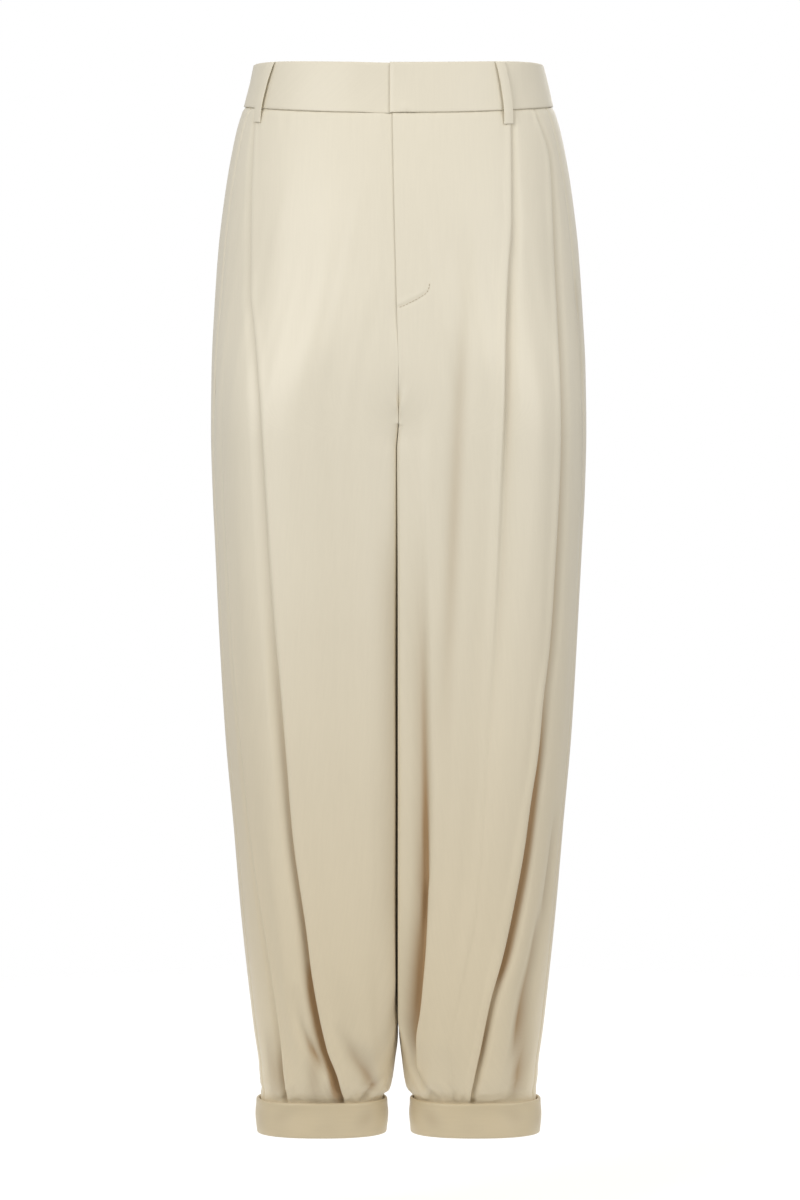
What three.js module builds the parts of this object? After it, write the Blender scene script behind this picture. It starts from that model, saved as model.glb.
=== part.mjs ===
// Balloon trousers in pale satin, filled out with no wearer: high waistband with a lapped fly,
// front pleats, in-seam pockets, full legs and turned-up cuffs. Millimetres, +Z up, front towards -Y,
// the wearer's left towards +X. The origin is the middle of the waistband's hollow.
import * as THREE from 'three';

// Driving dimensions
const WAIST_TOP = 21.5; // height of the band's top edge at the side, above the origin
const BAND_DEPTH = 44; // waistband, top edge to seam, at the side
const CROTCH = 354; // fall from the band's top edge to the crotch
const SPLIT_START = 195; // fall where the body begins to part into two legs
const CUFF_TOP = 988.4;
const CUFF_BOTTOM = 1021.5;
const LEG_END = 995; // the leg runs on inside the cuff to this fall
const CLOTH = 1.8; // wall of one panel
const BAND_CLOTH = 2.2; // doubled cloth with its stiffening
const CUFF_CLOTH = 2.6; // doubled and turned up
const SEAM_GAP = 0.3;
const SIDE_SEAM_ANGLE = THREE.MathUtils.degToRad(-19); // ahead of the widest line
const BAND_LAP = 8; // the left end passes the centre by this much
const BAND_UNDERLAP = 26; // the right end runs on under it
const FLY_END = 247;
const FLY_FACING_WIDTH = 31;
const LOOP_WIDTH = 10;
const LOOP_CLOTH = 1.5;
const LOOP_STAND_OFF = 1.6;
const POCKET_TOP = 62;
const POCKET_BOTTOM = 372;
const POCKET_REACH = 118;
const POCKET_MOUTH = { start: 195, end: 345, open: 2.6 };

const SATIN = { color: 0xddd5bd, roughness: 0.42, metalness: 0 };
const SATIN_INSIDE = { color: 0xcfc5a8, roughness: 0.55, metalness: 0 };

// Turns rows of numbers into rows with named columns
function table(names, rows) {
  return rows.map((row) => Object.fromEntries(names.map((name, i) => [name, row[i]])));
}

// The body and leg at falls from the band's top edge: half width at the side, reach to the front and
// to the back, the leg's inner side, and how square the section and its inner half are (2 is an
// ellipse): the legs' inner halves are squarer, as they press on each other.
const SECTIONS = table(
  ['fall', 'half', 'front', 'back', 'inner', 'square', 'squareInside'],
  [
    [0, 138, 92, 88, 0.4, 2.3, 8],
    [22, 142.4, 95, 91, 0.4, 2.3, 8],
    [44, 147.5, 99, 95, 0.4, 2.3, 8],
    [66, 154.2, 104, 100, 0.4, 2.3, 8],
    [94, 160, 109.5, 107, 0.4, 2.3, 8],
    [123, 164.7, 114.5, 114, 0.4, 2.3, 8],
    [180, 171.4, 121, 123.5, 0.4, 2.3, 8],
    [238, 175.3, 124.5, 129, 0.4, 2.3, 8],
    [295, 178, 125.5, 129.5, 0.4, 2.32, 8],
    [354, 178.6, 124, 126, 0.4, 2.35, 8],
    [410, 177.2, 121.5, 121.5, 0.4, 2.38, 7.5],
    [467, 174.3, 119, 117.5, 0.4, 2.4, 7],
    [553, 170, 115, 112.5, 0.4, 2.38, 6.5],
    [639, 164.7, 110.5, 108.5, 0.4, 2.35, 6],
    [725, 157.1, 104.5, 104, 0.4, 2.32, 5.5],
    [811, 149.5, 97, 98, 0.4, 2.3, 5],
    [868, 143.7, 90, 92, 0.4, 2.3, 4.2],
    [925, 137.5, 78, 81, 0.8, 2.25, 3.3],
    [954, 133.5, 68, 71, 3.4, 2.25, 2.6],
    [970, 132.4, 60, 63, 5.6, 2.25, 2.4],
    [981, 130.6, 51, 54, 8.4, 2.25, 2.25],
    [986.8, 131.4, 41.1, 41.1, 15.0, 2.25, 2.25],
    [LEG_END, 131.4, 41.1, 41.1, 15.0, 2.25, 2.25],
  ],
);

// The cuff's outside, level all round, standing just proud of the leg
const CUFF = { outer: 134.9, inner: 11.5, reach: 44.6, square: 2.25, crown: 0.7 };

// Folds, by the fall: how far across from the centre each lies, how deep and how wide it is
const FOLD_COLUMNS = ['fall', 'across', 'depth', 'spread'];
const INSEAM_HOLLOW_LEFT = table(FOLD_COLUMNS, [
  [44, 34, 0, 7], [300, 28, 0, 6], [354, 20, 0, 8], [410, 17, 0.6, 9], [478, 18, 4.5, 9],
  [606, 20, 7, 9], [756, 22.6, 8.5, 9], [850, 20, 8.5, 9], [916, 16, 7, 9], [967, 18, 4, 8],
  [982, 21, 2, 6], [995, 26, 0, 5],
]);
const THIGH_TROUGH_LEFT = table(FOLD_COLUMNS, [
  [44, 62, 0, 12], [180, 59, 0, 13], [240, 57, 1.5, 14], [331, 56, 4, 14], [441, 50, 4.5, 14],
  [606, 45, 4, 13], [700, 42, 0.5, 9], [820, 40, 0, 8], [884, 35, 0, 8], [932, 32, 0, 7],
  [964, 35, 0, 7], [982, 37, 0, 6], [995, 43, 0, 5],
]);
const LOOP_PLEAT_LEFT = table(FOLD_COLUMNS, [
  [44, 104, 0.6, 8], [75, 104, 2.6, 10], [157, 104, 4, 14], [207, 101, 4.5, 14], [331, 97.7, 5, 14],
  [515, 90, 2.5, 14], [620, 84, 0, 14], [800, 72, 0, 10], [884, 56, 0, 8], [932, 47, 0, 6],
  [964, 49, 0, 5], [982, 50, 0, 5], [995, 55, 0, 4],
]);
const POCKET_PLEAT_LEFT = table(FOLD_COLUMNS, [
  [44, 127, 0.6, 7], [95, 141, 3, 12], [188, 145, 5, 15], [356, 151, 6.5, 15], [515, 146, 6, 15],
  [654, 131, 5.5, 15], [747, 119, 6, 15], [858, 101, 6.5, 15], [935, 76, 7, 13], [964, 70, 5.5, 11],
  [982, 67, 3, 8], [995, 67, 0, 5],
]);
const HEM_TROUGH_LEFT = table(FOLD_COLUMNS, [
  [44, 137, 0, 4], [98, 150.5, 0, 3], [188, 159, 0, 4], [260, 162, 0, 4], [356, 168, 0, 7], [515, 164, 0, 9],
  [747, 144, 0, 9], [850, 128, 0.5, 9], [886, 117, 3.5, 9], [954, 113, 5, 9], [982, 108, 2.5, 7],
  [995, 106, 0, 6],
]);
const INSEAM_HOLLOW_RIGHT = table(FOLD_COLUMNS, [
  [44, 40, 0, 8], [300, 34, 0, 10], [354, 22, 0, 10], [478, 16, 1, 10], [700, 15, 2.5, 10],
  [868, 17, 3, 10], [925, 26, 4.5, 10], [960, 30, 6, 10], [982, 33, 2.5, 8], [995, 36, 0, 6],
]);
const LOOP_PLEAT_RIGHT = table(FOLD_COLUMNS, [
  [44, 133, 0.6, 5], [60, 134.5, 2, 7], [98, 136, 2.6, 12], [151, 137, 3, 16], [225, 138, 4, 16],
  [277, 133, 4.5, 16], [375, 127, 4.5, 16], [515, 124, 4, 16], [608, 115, 4, 16], [659, 106, 4.5, 16],
  [735, 99.5, 6, 16], [822, 87, 7, 16], [865, 80, 7.5, 16], [939, 67, 8.5, 15], [975, 58, 6, 11],
  [984, 57, 3, 9], [995, 56, 0, 6],
]);
const HEM_PLEAT_RIGHT = table(FOLD_COLUMNS, [
  [44, 138.6, 0, 1.6], [98, 150.5, 0, 4], [188, 159, 0, 4], [260, 161, 0, 5], [375, 164, 0, 8], [515, 158, 0, 9],
  [735, 138, 0, 9], [868, 119, 0.6, 9], [917, 113, 5, 9], [960, 107, 5.5, 9], [982, 104.5, 2.5, 8],
  [995, 104, 0, 6],
]);
const BACK_INSEAM_HOLLOW = table(FOLD_COLUMNS, [
  [44, 24, 0, 9], [300, 28, 0, 14], [354, 22, 0.5, 14], [478, 20, 5, 14], [650, 24, 5.5, 14],
  [800, 22, 6, 14], [925, 25, 6.5, 12], [970, 30, 4, 10], [995, 34, 0, 7],
]);
const BACK_PLEAT = table(FOLD_COLUMNS, [
  [44, 74, 0.5, 8], [90, 76, 2.5, 11], [200, 80, 3, 13], [354, 84, 3, 13], [515, 82, 2.5, 13],
  [700, 74, 3.5, 13], [860, 67, 5, 13], [940, 66, 6.5, 12], [975, 68, 3, 9], [995, 70, 0, 6],
]);
const BACK_SIDE_TROUGH = table(FOLD_COLUMNS, [
  [44, 118, 0, 7], [200, 138, 2, 11], [354, 146, 5, 13], [515, 141, 5, 13], [700, 125, 5, 13],
  [860, 112, 6, 12], [940, 104, 6.5, 11], [975, 101, 3, 9], [995, 100, 0, 6],
]);
const LEFT_FRONT_FOLDS = [
  { form: 'trough', path: INSEAM_HOLLOW_LEFT },
  { form: 'trough', path: THIGH_TROUGH_LEFT },
  { form: 'pleat', path: LOOP_PLEAT_LEFT },
  { form: 'pleat', path: POCKET_PLEAT_LEFT },
  { form: 'trough', path: HEM_TROUGH_LEFT },
];
const RIGHT_FRONT_FOLDS = [
  { form: 'trough', path: INSEAM_HOLLOW_RIGHT },
  { form: 'step', path: LOOP_PLEAT_RIGHT },
  { form: 'pleat', path: HEM_PLEAT_RIGHT },
];
const BACK_FOLDS = [
  { form: 'trough', path: BACK_SIDE_TROUGH },
  { form: 'pleat', path: BACK_PLEAT },
  { form: 'trough', path: BACK_INSEAM_HOLLOW },
];
// How each form stands across the fold, as shares of its spread and of its depth
const FOLD_FORMS = {
  trough: table(['place', 'share'], [[-1, 0], [-0.3, -0.9], [0.3, -0.9], [1, 0]]),
  pleat: table(['place', 'share'], [[-0.9, 0], [-0.14, 0.22], [0.14, -0.85], [1, 0]]),
  step: table(['place', 'share'], [[-0.9, 0], [-0.16, 0.22], [0.16, -1], [0.6, -0.7], [1.3, 0]]),
};

// Falls of the panels' rows: closer at the waist seam, the crotch and the cuff
const ROWS = [
  44.3, 66, 98, 138, 180, 222, 262, 294, 318, 334, 344, 351, 354, 366, 392, 430, 480, 535, 590, 645, 700,
  750, 796, 838, 874, 904, 930, 950, 966, 980, 986.8, LEG_END,
];

// A value at a fall, by a curve through the table's rows that never overshoots them
function along(rows, column, fall) {
  const last = rows.length - 1;
  if (fall <= rows[0].fall) return rows[0][column];
  if (fall >= rows[last].fall) return rows[last][column];
  const i = rows.findIndex((row) => row.fall > fall) - 1;
  const rise = (k) => (rows[k + 1][column] - rows[k][column]) / (rows[k + 1].fall - rows[k].fall);
  const slopeAt = (k) => {
    if (k === 0 || k === last) return rise(Math.min(k, last - 1));
    const [before, after] = [rise(k - 1), rise(k)];
    return before * after <= 0 ? 0 : (2 * before * after) / (before + after);
  };
  const span = rows[i + 1].fall - rows[i].fall;
  const t = (fall - rows[i].fall) / span;
  const [t2, t3] = [t * t, t * t * t];
  return (
    (2 * t3 - 3 * t2 + 1) * rows[i][column] +
    (t3 - 2 * t2 + t) * span * slopeAt(i) +
    (3 * t2 - 2 * t3) * rows[i + 1][column] +
    (t3 - t2) * span * slopeAt(i + 1)
  );
}

// How far the waist dips at the front and rises at the back, from -1 at the front to 1 at the back,
// and how far its top corner drops at the side
const TOP_DIP = { straight: -12, bowed: 4, corner: 4 };
const SEAM_DIP = { straight: -13.3, bowed: 6.8, corner: 0 };
const LEVEL_FALL = 250; // below this the rows are level
function dipAt(fall, towardsBack) {
  const side = (1 - towardsBack ** 2) ** 3;
  const dip = (form) => form.straight * towardsBack + form.bowed * towardsBack ** 2 + form.corner * side;
  if (fall < BAND_DEPTH) return THREE.MathUtils.lerp(dip(TOP_DIP), dip(SEAM_DIP), fall / BAND_DEPTH);
  const fade = 1 - THREE.MathUtils.smoothstep(fall, BAND_DEPTH, LEVEL_FALL);
  return dip(SEAM_DIP) * fade;
}

const signedPower = (value, power) => Math.sign(value) * Math.abs(value) ** power;

// One half's section at a fall: an oval about the body that parts into an oval about the leg
function sectionAt(fall) {
  const [half, inner] = [along(SECTIONS, 'half', fall), along(SECTIONS, 'inner', fall)];
  const parted = THREE.MathUtils.smoothstep(fall, SPLIT_START, CROTCH);
  const centre = (parted * (half + inner)) / 2;
  const section = { fall, centre, reach: half - centre, square: along(SECTIONS, 'square', fall) };
  section.squareInside = along(SECTIONS, 'squareInside', fall);
  section.front = along(SECTIONS, 'front', fall);
  section.back = along(SECTIONS, 'back', fall);
  const cut = Math.min((centre / section.reach) ** (section.squareInside / 2), 1);
  section.sweep = Math.acos(-cut);
  return section;
}

// A point of the smooth form, by its angle: -90 degrees at the front, 0 at the side, 90 at the back
function pointAtAngle(section, angle) {
  const power = 2 / (Math.cos(angle) < 0 ? section.squareInside : section.square);
  const towardsBack = signedPower(Math.sin(angle), power);
  const x = section.centre + section.reach * signedPower(Math.cos(angle), power);
  const y = towardsBack * (towardsBack < 0 ? section.front : section.back);
  return new THREE.Vector3(x, y, WAIST_TOP - section.fall - dipAt(section.fall, towardsBack));
}

// The section walked from the centre front to the centre back, so that places are real lengths. Its
// steps are short where the section runs straight across or straight back, as the angle turns slowly.
const STEPS = 240;
const CROWDING = 0.98;
function stepAngle(k) {
  const even = THREE.MathUtils.lerp(-Math.PI, Math.PI, k / STEPS);
  return even - (CROWDING / 4) * Math.sin(4 * even);
}
const walks = new Map();
function walkAt(fall) {
  const key = Math.round(fall * 100) / 100;
  if (walks.has(key)) return walks.get(key);
  const section = sectionAt(key);
  const stops = [];
  let length = 0;
  let before = null;
  for (let k = 0; k <= STEPS; k++) {
    const angle = THREE.MathUtils.clamp(stepAngle(k), -section.sweep, section.sweep);
    const point = pointAtAngle(section, angle);
    if (before) length += Math.hypot(point.x - before.x, point.y - before.y);
    stops.push({ angle, length, across: point.x });
    before = point;
  }
  const walk = { section, stops, length };
  walks.set(key, walk);
  return walk;
}

// Reads one column of a walk's stops where another has a given value
function readStops(stops, known, value, wanted) {
  const rising = stops[stops.length - 1][known] > stops[0][known];
  let k = stops.findIndex((stop) => (rising ? stop[known] >= value : stop[known] <= value));
  if (k < 0) k = stops.length - 1;
  if (k === 0) k = 1;
  const [a, b] = [stops[k - 1], stops[k]];
  const share = (value - a[known]) / (b[known] - a[known] || 1);
  return THREE.MathUtils.lerp(a[wanted], b[wanted], THREE.MathUtils.clamp(share, 0, 1));
}

// Lengths round to a point of the front or the back that is this far across, and to the side seam
const frontStops = (walk) => walk.stops.filter((stop) => stop.angle <= 0);
const backStops = (walk) => walk.stops.filter((stop) => stop.angle >= 0);
const frontPlace = (walk, across) => readStops(frontStops(walk), 'across', across, 'length');
const backPlace = (walk, across) => readStops(backStops(walk), 'across', across, 'length');
const sideSeamPlace = (walk) => readStops(walk.stops, 'angle', SIDE_SEAM_ANGLE, 'length');

// The smooth form's point and outward direction at a length round from the centre front. A length
// below 0 lies past the centre, on the other half.
const NUDGE = { angle: 0.012, fall: 1.5 };
function formAt(fall, place) {
  const walk = walkAt(fall);
  const angle = readStops(walk.stops, 'length', Math.abs(place), 'angle');
  const point = pointAtAngle(walk.section, angle);
  const round = pointAtAngle(walk.section, angle + NUDGE.angle).sub(
    pointAtAngle(walk.section, angle - NUDGE.angle),
  );
  const down = pointAtAngle(walkAt(fall + NUDGE.fall).section, angle).sub(
    pointAtAngle(walkAt(fall - NUDGE.fall).section, angle),
  );
  const outward = down.cross(round).normalize();
  if (place < 0) {
    point.x = -point.x;
    outward.x = -outward.x;
  }
  return { point, outward };
}

// A closed wall between an outer and an inner grid of points, rows downwards and columns round
function wallGeometry(outer, inner, { joined = false, flipped = false } = {}) {
  const [rows, columns] = [outer.length, outer[0].length];
  const points = [...outer.flat(), ...inner.flat()];
  const index = [];
  const at = (layer, r, c) => layer * rows * columns + r * columns + (c % columns);
  const quad = (a, b, c, d) => {
    const corners = flipped ? [a, c, b, a, d, c] : [a, b, c, a, c, d];
    index.push(...corners);
  };
  const spans = joined ? columns : columns - 1;
  for (let r = 0; r < rows - 1; r++) {
    for (let c = 0; c < spans; c++) {
      quad(at(0, r, c), at(0, r + 1, c), at(0, r + 1, c + 1), at(0, r, c + 1));
      quad(at(1, r, c), at(1, r, c + 1), at(1, r + 1, c + 1), at(1, r + 1, c));
    }
  }
  for (let c = 0; c < spans; c++) {
    quad(at(0, 0, c), at(0, 0, c + 1), at(1, 0, c + 1), at(1, 0, c));
    quad(at(0, rows - 1, c), at(1, rows - 1, c), at(1, rows - 1, c + 1), at(0, rows - 1, c + 1));
  }
  for (let r = 0; r < rows - 1 && !joined; r++) {
    const end = columns - 1;
    quad(at(0, r, 0), at(1, r, 0), at(1, r + 1, 0), at(0, r + 1, 0));
    quad(at(0, r, end), at(0, r + 1, end), at(1, r + 1, end), at(1, r, end));
  }
  const geometry = new THREE.BufferGeometry();
  const positions = new Float32Array(points.flatMap((p) => [p.x, p.y, p.z]));
  geometry.setAttribute('position', new THREE.BufferAttribute(positions, 3));
  geometry.setIndex(index);
  geometry.computeVertexNormals();
  return geometry;
}

const group = new THREE.Group();
group.name = 'balloon_trousers';

function addPiece(name, geometry, finish = SATIN) {
  const mesh = new THREE.Mesh(geometry, new THREE.MeshStandardMaterial(finish));
  mesh.name = name;
  group.add(mesh);
}

// A wall on the form from columns, each with its place round and its lift off the form. A side of
// -1 mirrors it to the wearer's right.
function clothOnForm({ side = 1, falls, columns, cloth = CLOTH, joined = false }) {
  const [outer, inner] = [[], []];
  for (const fall of falls) {
    const stops = columns(fall);
    const [outerRow, innerRow] = [[], []];
    stops.forEach(({ place, lift }, i) => {
      if (i && place - stops[i - 1].place < 0.2) {
        throw new Error(`columns cross at fall ${fall}, ${i}: ${stops[i - 1].place}, ${place}`);
      }
      const { point, outward } = formAt(fall, place);
      for (const [row, off] of [[outerRow, lift], [innerRow, lift - cloth]]) {
        const moved = point.clone().addScaledVector(outward, off);
        moved.x *= side;
        row.push(moved);
      }
    });
    outer.push(outerRow);
    inner.push(innerRow);
  }
  return wallGeometry(outer, inner, { joined, flipped: side < 0 });
}

// Plain columns between two places
function between(from, to, count) {
  const places = [];
  for (let k = 1; k <= count; k++) {
    places.push({ place: THREE.MathUtils.lerp(from, to, k / (count + 1)), lift: 0 });
  }
  return places;
}

// The columns of a panel: its first edge, its folds with plain columns between them, its last edge
function panelColumns(walk, { first, last, folds, fills, placeOf }) {
  const fall = walk.section.fall;
  const stops = [first];
  folds.forEach((fold, i) => {
    const middle = placeOf(walk, along(fold.path, 'across', fall));
    const depth = along(fold.path, 'depth', fall);
    const spread = along(fold.path, 'spread', fall);
    const shape = FOLD_FORMS[fold.form].map(({ place, share }) => ({
      place: middle + place * spread,
      lift: share * depth,
    }));
    stops.push(...between(stops[stops.length - 1].place, shape[0].place, fills[i]), ...shape);
  });
  stops.push(...between(stops[stops.length - 1].place, last.place, fills[folds.length]), last);
  return stops;
}

// The fly's edge lies this far past the centre, on the wearer's right
const FLY_EDGE = table(['fall', 'lap'], [[44, 5.5], [150, 3.6], [247, 1.4], [300, 0]]);
const FLY_STEP = 1.5; // the right front goes in under the left one
const FLY_STEP_RUN = 14;

function mouthGap(fall) {
  const { start, end, open } = POCKET_MOUTH;
  if (fall <= start || fall >= end) return 0;
  return open * Math.sin((Math.PI * (fall - start)) / (end - start)) ** 2;
}

function addFronts() {
  const fronts = {
    left: { side: 1, folds: LEFT_FRONT_FOLDS, fills: [3, 0, 1, 0, 0, 1], past: -1 },
    right: { side: -1, folds: RIGHT_FRONT_FOLDS, fills: [3, 3, 0, 1], past: 1 },
  };
  for (const [name, { side, folds, fills, past }] of Object.entries(fronts)) {
    const columns = (fall) => {
      const walk = walkAt(fall);
      const lap = along(FLY_EDGE, 'lap', fall);
      const underFly = past > 0 && fall < FLY_END ? -FLY_STEP : 0;
      const first = { place: past * lap + SEAM_GAP / 2, lift: underFly };
      const last = { place: sideSeamPlace(walk) - SEAM_GAP / 2 - mouthGap(fall), lift: 0 };
      const stops = panelColumns(walk, { first, last, folds, fills, placeOf: frontPlace });
      for (const stop of stops) {
        const share = 1 - (stop.place - first.place) / FLY_STEP_RUN;
        if (share > 0 && share < 1) stop.lift += underFly * share;
      }
      return stops;
    };
    addPiece(`front_${name}`, clothOnForm({ side, falls: ROWS, columns }));
  }
}

function addBacks() {
  for (const [name, side] of Object.entries({ left: 1, right: -1 })) {
    const columns = (fall) => {
      const walk = walkAt(fall);
      const first = { place: sideSeamPlace(walk) + SEAM_GAP / 2, lift: 0 };
      const last = { place: walk.length - SEAM_GAP / 2, lift: 0 };
      return panelColumns(walk, { first, last, folds: BACK_FOLDS, fills: [4, 1, 1, 3], placeOf: backPlace });
    };
    addPiece(`back_${name}`, clothOnForm({ side, falls: ROWS, columns }));
  }
}

// The band is one strip: it starts at the lapped end, goes round by the wearer's left and the back,
// and ends under its own start.
const BAND_COLUMNS = 48;
const BAND_SINK_RUN = 40;
function addWaistband() {
  const rows = table(['fall', 'lift'], [[0, -0.6], [2, 0.2], [41.8, 0.2], [43.9, -0.5]]);
  const [outer, inner] = [[], []];
  for (const { fall, lift } of rows) {
    const round = 2 * walkAt(fall).length;
    const total = round + BAND_UNDERLAP;
    const [outerRow, innerRow] = [[], []];
    for (let k = 0; k <= BAND_COLUMNS; k++) {
      const walked = (total * k) / BAND_COLUMNS;
      const place = walked - BAND_LAP;
      const signed = place <= round / 2 ? place : place - round;
      const under = THREE.MathUtils.clamp((walked - round + BAND_SINK_RUN) / BAND_SINK_RUN, 0, 1);
      const sink = -(BAND_CLOTH + 2 * SEAM_GAP) * under;
      const { point, outward } = formAt(fall, signed);
      outerRow.push(point.clone().addScaledVector(outward, lift + sink));
      innerRow.push(point.clone().addScaledVector(outward, sink - BAND_CLOTH - lift));
    }
    outer.push(outerRow);
    inner.push(innerRow);
  }
  addPiece('waistband', wallGeometry(outer, inner));
}

// Strips of cloth laid over the band, sewn at both ends
const LOOPS = table(
  ['name', 'side', 'face', 'top', 'bottom'],
  [
    ['front_left', 1, 'front', 93.5, 102],
    ['front_right', -1, 'front', 118, 132],
    ['back_left', 1, 'back', 84, 86],
    ['back_right', -1, 'back', 84, 86],
    ['back_centre', 1, 'back', 0, 0],
  ],
);
const LOOP_ROWS = table(
  ['fall', 'off'],
  [[-0.8, 0.1], [2, 0.6], [8, 1], [22, 1], [36, 1], [48, 0.9], [54, 0.3], [57, 0.1]],
);
const LOOP_CLEAR = 0.9; // off the band's crown at the sewn ends
function addBeltLoops() {
  for (const { name, side, face, top, bottom } of LOOPS) {
    const [outer, inner] = [[], []];
    for (const { fall, off } of LOOP_ROWS) {
      const walk = walkAt(Math.max(fall, 0));
      const share = THREE.MathUtils.clamp(fall / LOOP_ROWS[LOOP_ROWS.length - 1].fall, 0, 1);
      const across = THREE.MathUtils.lerp(top, bottom, share);
      const middle = (face === 'front' ? frontPlace : backPlace)(walk, across);
      const lift = LOOP_CLEAR + off * LOOP_STAND_OFF;
      const [outerRow, innerRow] = [[], []];
      for (const edge of [-0.5, 0, 0.5]) {
        let place = middle + edge * LOOP_WIDTH;
        if (place > walk.length) place -= 2 * walk.length; // past the centre back
        const { point, outward } = formAt(Math.max(fall, 0), place);
        point.z -= Math.min(fall, 0);
        for (const [row, amount] of [[outerRow, lift + LOOP_CLOTH], [innerRow, lift]]) {
          const moved = point.clone().addScaledVector(outward, amount);
          moved.x *= side;
          row.push(moved);
        }
      }
      outer.push(outerRow);
      inner.push(innerRow);
    }
    addPiece(`belt_loop_${name}`, wallGeometry(outer, inner, { flipped: side < 0 }));
  }
}

// The J-shaped facing sewn behind the left front's edge
function addFlyFacing() {
  const falls = [46.5, 66, 98, 138, 180, 204, 222, 236, 243, FLY_END];
  const curveStart = 196;
  const least = 2.5;
  const lift = -CLOTH - 2 * SEAM_GAP;
  const columns = (fall) => {
    const share = Math.max(0, (fall - curveStart) / (FLY_END - curveStart));
    const width = least + (FLY_FACING_WIDTH - least) * Math.sqrt(1 - share ** 2);
    const start = 1.2 - along(FLY_EDGE, 'lap', fall);
    return [0, 0.33, 0.67, 1].map((part) => ({ place: start + part * width, lift }));
  };
  addPiece('fly_facing', clothOnForm({ falls, columns, cloth: 1.2 }), SATIN_INSIDE);
}

// Flat bags that hang inside from the side seams, behind the front's folds
const POCKET_INSET = table(['fall', 'inset'], [[-1, 12], [-0.24, 12], [-0.05, 0.8], [0.06, 1.1]]);
function addPockets() {
  const falls = [POCKET_TOP, 110, 160, 205, 250, 295, 325, 350, POCKET_BOTTOM];
  const roundStart = 295;
  for (const [name, side] of Object.entries({ left: 1, right: -1 })) {
    const columns = (fall) => {
      const seam = sideSeamPlace(walkAt(fall));
      const share = Math.max(0, (fall - roundStart) / (POCKET_BOTTOM - roundStart));
      const reach = POCKET_REACH * (0.35 + 0.65 * Math.sqrt(1 - share ** 2));
      return [-1, -0.78, -0.55, -0.34, -0.2, -0.05, 0.06].map((part) => {
        const inset = along(POCKET_INSET, 'inset', part);
        const place = seam + part * (part < 0 ? reach : POCKET_REACH);
        return { place, lift: -CLOTH - inset };
      });
    };
    const geometry = clothOnForm({ side, falls, columns, cloth: 1.6 });
    addPiece(`pocket_${name}`, geometry, SATIN_INSIDE);
  }
}

// Closed bands round the ends of the legs
const CUFF_COLUMNS = 40;
function addCuffs() {
  const middle = (CUFF.outer + CUFF.inner) / 2;
  const reach = (CUFF.outer - CUFF.inner) / 2;
  const rows = table(
    ['share', 'out', 'in'],
    [[0, -0.5, 0.4], [0.08, 0.2, 0], [0.55, CUFF.crown, 0], [1, -0.5, 0.3]],
  );
  const power = 2 / CUFF.square;
  for (const [name, side] of Object.entries({ left: 1, right: -1 })) {
    const [outer, inner] = [[], []];
    for (const row of rows) {
      const z = WAIST_TOP - THREE.MathUtils.lerp(CUFF_TOP, CUFF_BOTTOM, row.share);
      const ring = (off) => {
        const points = [];
        for (let k = 0; k < CUFF_COLUMNS; k++) {
          const angle = (2 * Math.PI * k) / CUFF_COLUMNS;
          const x = middle + (reach + off) * signedPower(Math.cos(angle), power);
          const y = (CUFF.reach + off) * signedPower(Math.sin(angle), power);
          points.push(new THREE.Vector3(side * x, y, z));
        }
        return points;
      };
      outer.push(ring(row.out));
      inner.push(ring(row.in - CUFF_CLOTH));
    }
    addPiece(`cuff_${name}`, wallGeometry(outer, inner, { joined: true, flipped: side < 0 }));
  }
}

addFronts();
addBacks();
addWaistband();
addBeltLoops();
addFlyFacing();
addPockets();
addCuffs();

export default group;
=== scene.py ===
"""Balloon trousers in pale champagne satin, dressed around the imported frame.

Panels, band, loops, cuffs and pockets lie on the same smooth form as the solids that they stand for.
Tables and sizes are in millimetres, meshes in metres. +Z is up, the garment's front looks towards -Y
and the wearer's left lies towards +X. A fall is the way down from the band's top edge at the side, a
place is the length round from the centre front.
"""

import logging
import math
from dataclasses import dataclass, replace
from enum import Enum
from typing import Any, Sequence

import bpy
import numpy as np
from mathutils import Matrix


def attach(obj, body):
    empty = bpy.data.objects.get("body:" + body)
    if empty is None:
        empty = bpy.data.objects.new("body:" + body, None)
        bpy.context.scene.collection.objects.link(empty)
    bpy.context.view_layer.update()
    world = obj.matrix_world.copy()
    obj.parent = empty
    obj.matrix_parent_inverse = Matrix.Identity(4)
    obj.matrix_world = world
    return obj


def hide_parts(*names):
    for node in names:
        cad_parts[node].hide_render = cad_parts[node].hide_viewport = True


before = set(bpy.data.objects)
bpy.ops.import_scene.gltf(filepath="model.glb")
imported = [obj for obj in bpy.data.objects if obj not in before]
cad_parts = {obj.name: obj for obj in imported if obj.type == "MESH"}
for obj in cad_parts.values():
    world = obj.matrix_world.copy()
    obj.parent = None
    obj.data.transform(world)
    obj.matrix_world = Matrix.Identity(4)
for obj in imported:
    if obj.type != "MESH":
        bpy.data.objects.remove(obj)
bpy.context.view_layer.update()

log = logging.getLogger("balloon_trousers")

MM = 0.001

# Driving dimensions, as the solids have them
WAIST_TOP = 21.5
BAND_DEPTH = 44.0
CROTCH = 354.0
SPLIT_START = 195.0
CUFF_TOP = 988.4
CUFF_BOTTOM = 1021.5
LEG_END = 995.0
LEVEL_FALL = 250.0
SIDE_SEAM_ANGLE = math.radians(-19)
BAND_LAP = 8.0
BAND_UNDERLAP = 26.0
FLY_END = 247.0
PANEL_TOP = 44.3

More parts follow.
